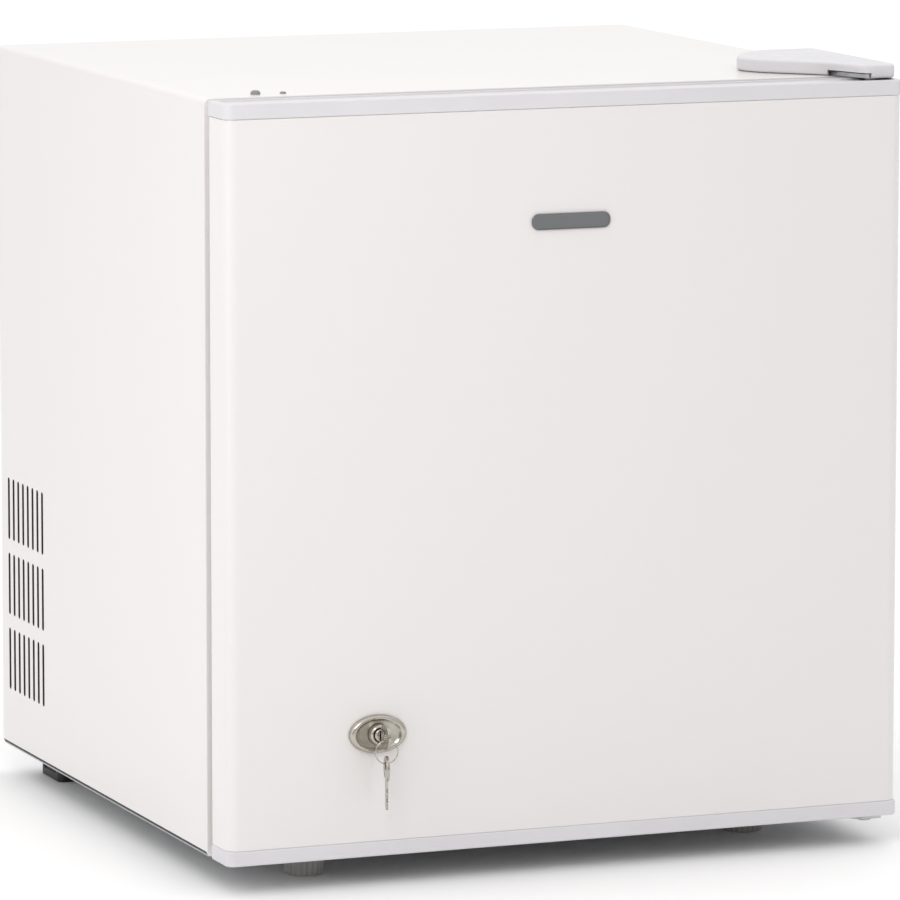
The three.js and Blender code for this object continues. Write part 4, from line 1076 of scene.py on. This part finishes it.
def thermostat_knob():
    """Round dial with a tapered grip and a small pointer."""
    low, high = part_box("thermostat_knob")
    middle = (low + high) / 2
    radius = (high.x - low.x) / 2
    face = low.y + 6 * MM
    profile = [
        (0, high.y), (2.9 * MM, high.y), (2.9 * MM, face + 9.7 * MM), (radius - 0.8 * MM, face + 9.7 * MM),
        (radius, face + 8.9 * MM), (radius, face + 2 * MM), (radius - 0.6 * MM, face + 0.8 * MM),
        (radius - 2 * MM, face), (radius - 5 * MM, face), (radius - 6 * MM, face + 0.8 * MM),
        (0, face + 0.8 * MM),
    ]
    dial = turned("dial_of_thermostat", profile, centre=(middle.x, 0, middle.z), axis="y", steps=96)
    soften(dial, 0, angle=35)
    finish(dial, CAP_PLASTIC, "thermostat_knob")
    half, reach = 3.4 * MM, radius - 2.2 * MM
    grip = prism(
        "grip_of_thermostat", rounded([
            (middle.x - half, middle.z - reach), (middle.x + half, middle.z - reach),
            (middle.x + half * 0.7, middle.z + reach), (middle.x - half * 0.7, middle.z + reach),
        ], 2 * MM, 6), low.y, face + 1.5 * MM, "y",
    )
    finish(soften(grip, 1.1 * MM, 4, 50), CAP_PLASTIC, "thermostat_knob", hide=False)
    wide = 0.6 * MM
    stripe = rectangle(
        middle.x - wide, middle.z + reach * 0.45, middle.x + wide, middle.z + reach * 0.85, 0.4 * MM, 4,
    )
    mark = prism("pointer_of_thermostat", stripe, low.y, low.y + 0.5 * MM, "y")
    finish(soften(mark, 0), BLACK, "thermostat_knob", hide=False)


wire_shelf()
evaporator()
thermostat_knob()
refined("bottle_rack", CLEAR, 0.8 * MM, 3)
refined("can_rack", CLEAR, 0.8 * MM, 3)
refined("drip_tray", CLEAR, 0.7 * MM, 3)
refined("ice_box_flap", CLEAR, 0.7 * MM, 3)
refined("ice_box_frame", CAP_PLASTIC, 0.8 * MM, 3)
refined("thermostat_housing", CAP_PLASTIC, 1.6 * MM, 4)
refined("inner_liner", LINER, 1.2 * MM, 3)
refined("door_liner", LINER, 2.2 * MM, 4)
refined("cabinet_foam", FOAM, 0)
refined("door_foam", FOAM, 0)
refined("top_hinge_bush", BLACK, 0.3 * MM)
refined("bottom_hinge_bush", BLACK, 0.3 * MM)


# ---- Floor, light and camera ---------------------------------------------------------------------------


def floor():
    bm = bmesh.new()
    bmesh.ops.create_circle(bm, cap_ends=True, segments=96, radius=9.0)
    ground = new_object("floor", bm)
    paper = Finish("floor_paper", linear(250, 250, 250), 0.7)
    paper.gloss(paper.noise(0.2, 2), 0.66, 0.76)
    ground.data.materials.append(paper.material)


def soft_light(name, place, target, size, power, color):
    data = bpy.data.lights.new(name, "AREA")
    data.shape = "RECTANGLE"
    data.size, data.size_y = size
    data.energy = power
    data.color = color
    lamp = bpy.data.objects.new(name, data)
    bpy.context.scene.collection.objects.link(lamp)
    lamp.location = place
    lamp.rotation_euler = (Vector(target) - Vector(place)).to_track_quat("-Z", "Y").to_euler()


def backdrop():
    """Sky that is brightest behind the object and dimmer in front of it and to its right."""
    world = bpy.data.worlds.new("studio")
    world.use_nodes = True
    nodes, links = world.node_tree.nodes, world.node_tree.links
    place = nodes.new("ShaderNodeTexCoord")
    toward = nodes.new("ShaderNodeVectorMath")
    toward.operation = "DOT_PRODUCT"
    toward.inputs[1].default_value = (0.06, 0.4, 0.91)
    strength = nodes.new("ShaderNodeMapRange")
    strength.inputs["From Min"].default_value = -1
    strength.inputs["To Min"].default_value = 0.0
    strength.inputs["To Max"].default_value = 1.35
    links.new(place.outputs["Generated"], toward.inputs[0])
    links.new(toward.outputs["Value"], strength.inputs["Value"])
    links.new(strength.outputs["Result"], nodes["Background"].inputs["Strength"])
    nodes["Background"].inputs["Color"].default_value = (1, 1, 1, 1)
    bpy.context.scene.world = world


def studio():
    backdrop()
    bpy.context.scene.view_settings.view_transform = "Standard"
    middle = (0, 0, 0.25)
    soft_light("key_front_left", (-0.7, -1.05, 0.95), middle, (0.5, 0.5), 3.9, (1, 0.985, 0.975))
    soft_light("strip_left", (-1.5, -0.8, 0.6), middle, (0.12, 1.6), 1.8, (1, 0.99, 0.98))


def camera():
    """Long lens, turned to the door's left side and a little above, with the door's edges upright."""
    azimuth, elevation, distance = math.radians(-21.57), math.radians(8.09), 4.408
    shell_low, shell_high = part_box("outer_shell")
    cap_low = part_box("door_top_cap")[0]
    target = (shell_low + shell_high) / 2
    target.y = (cap_low.y + shell_high.y) / 2
    level = math.cos(elevation)
    back = Vector((math.sin(azimuth) * level, -math.cos(azimuth) * level, math.sin(elevation)))
    data = bpy.data.cameras.new("camera")
    data.sensor_width = 36
    data.lens = 273.2
    data.shift_x, data.shift_y = 0.013, -0.0306
    data.clip_end = 50
    view = bpy.data.objects.new("camera", data)
    bpy.context.scene.collection.objects.link(view)
    view.location = target + back * distance
    view.rotation_euler = back.to_track_quat("Z", "Y").to_euler()
    bpy.context.scene.camera = view


floor()
studio()
camera()
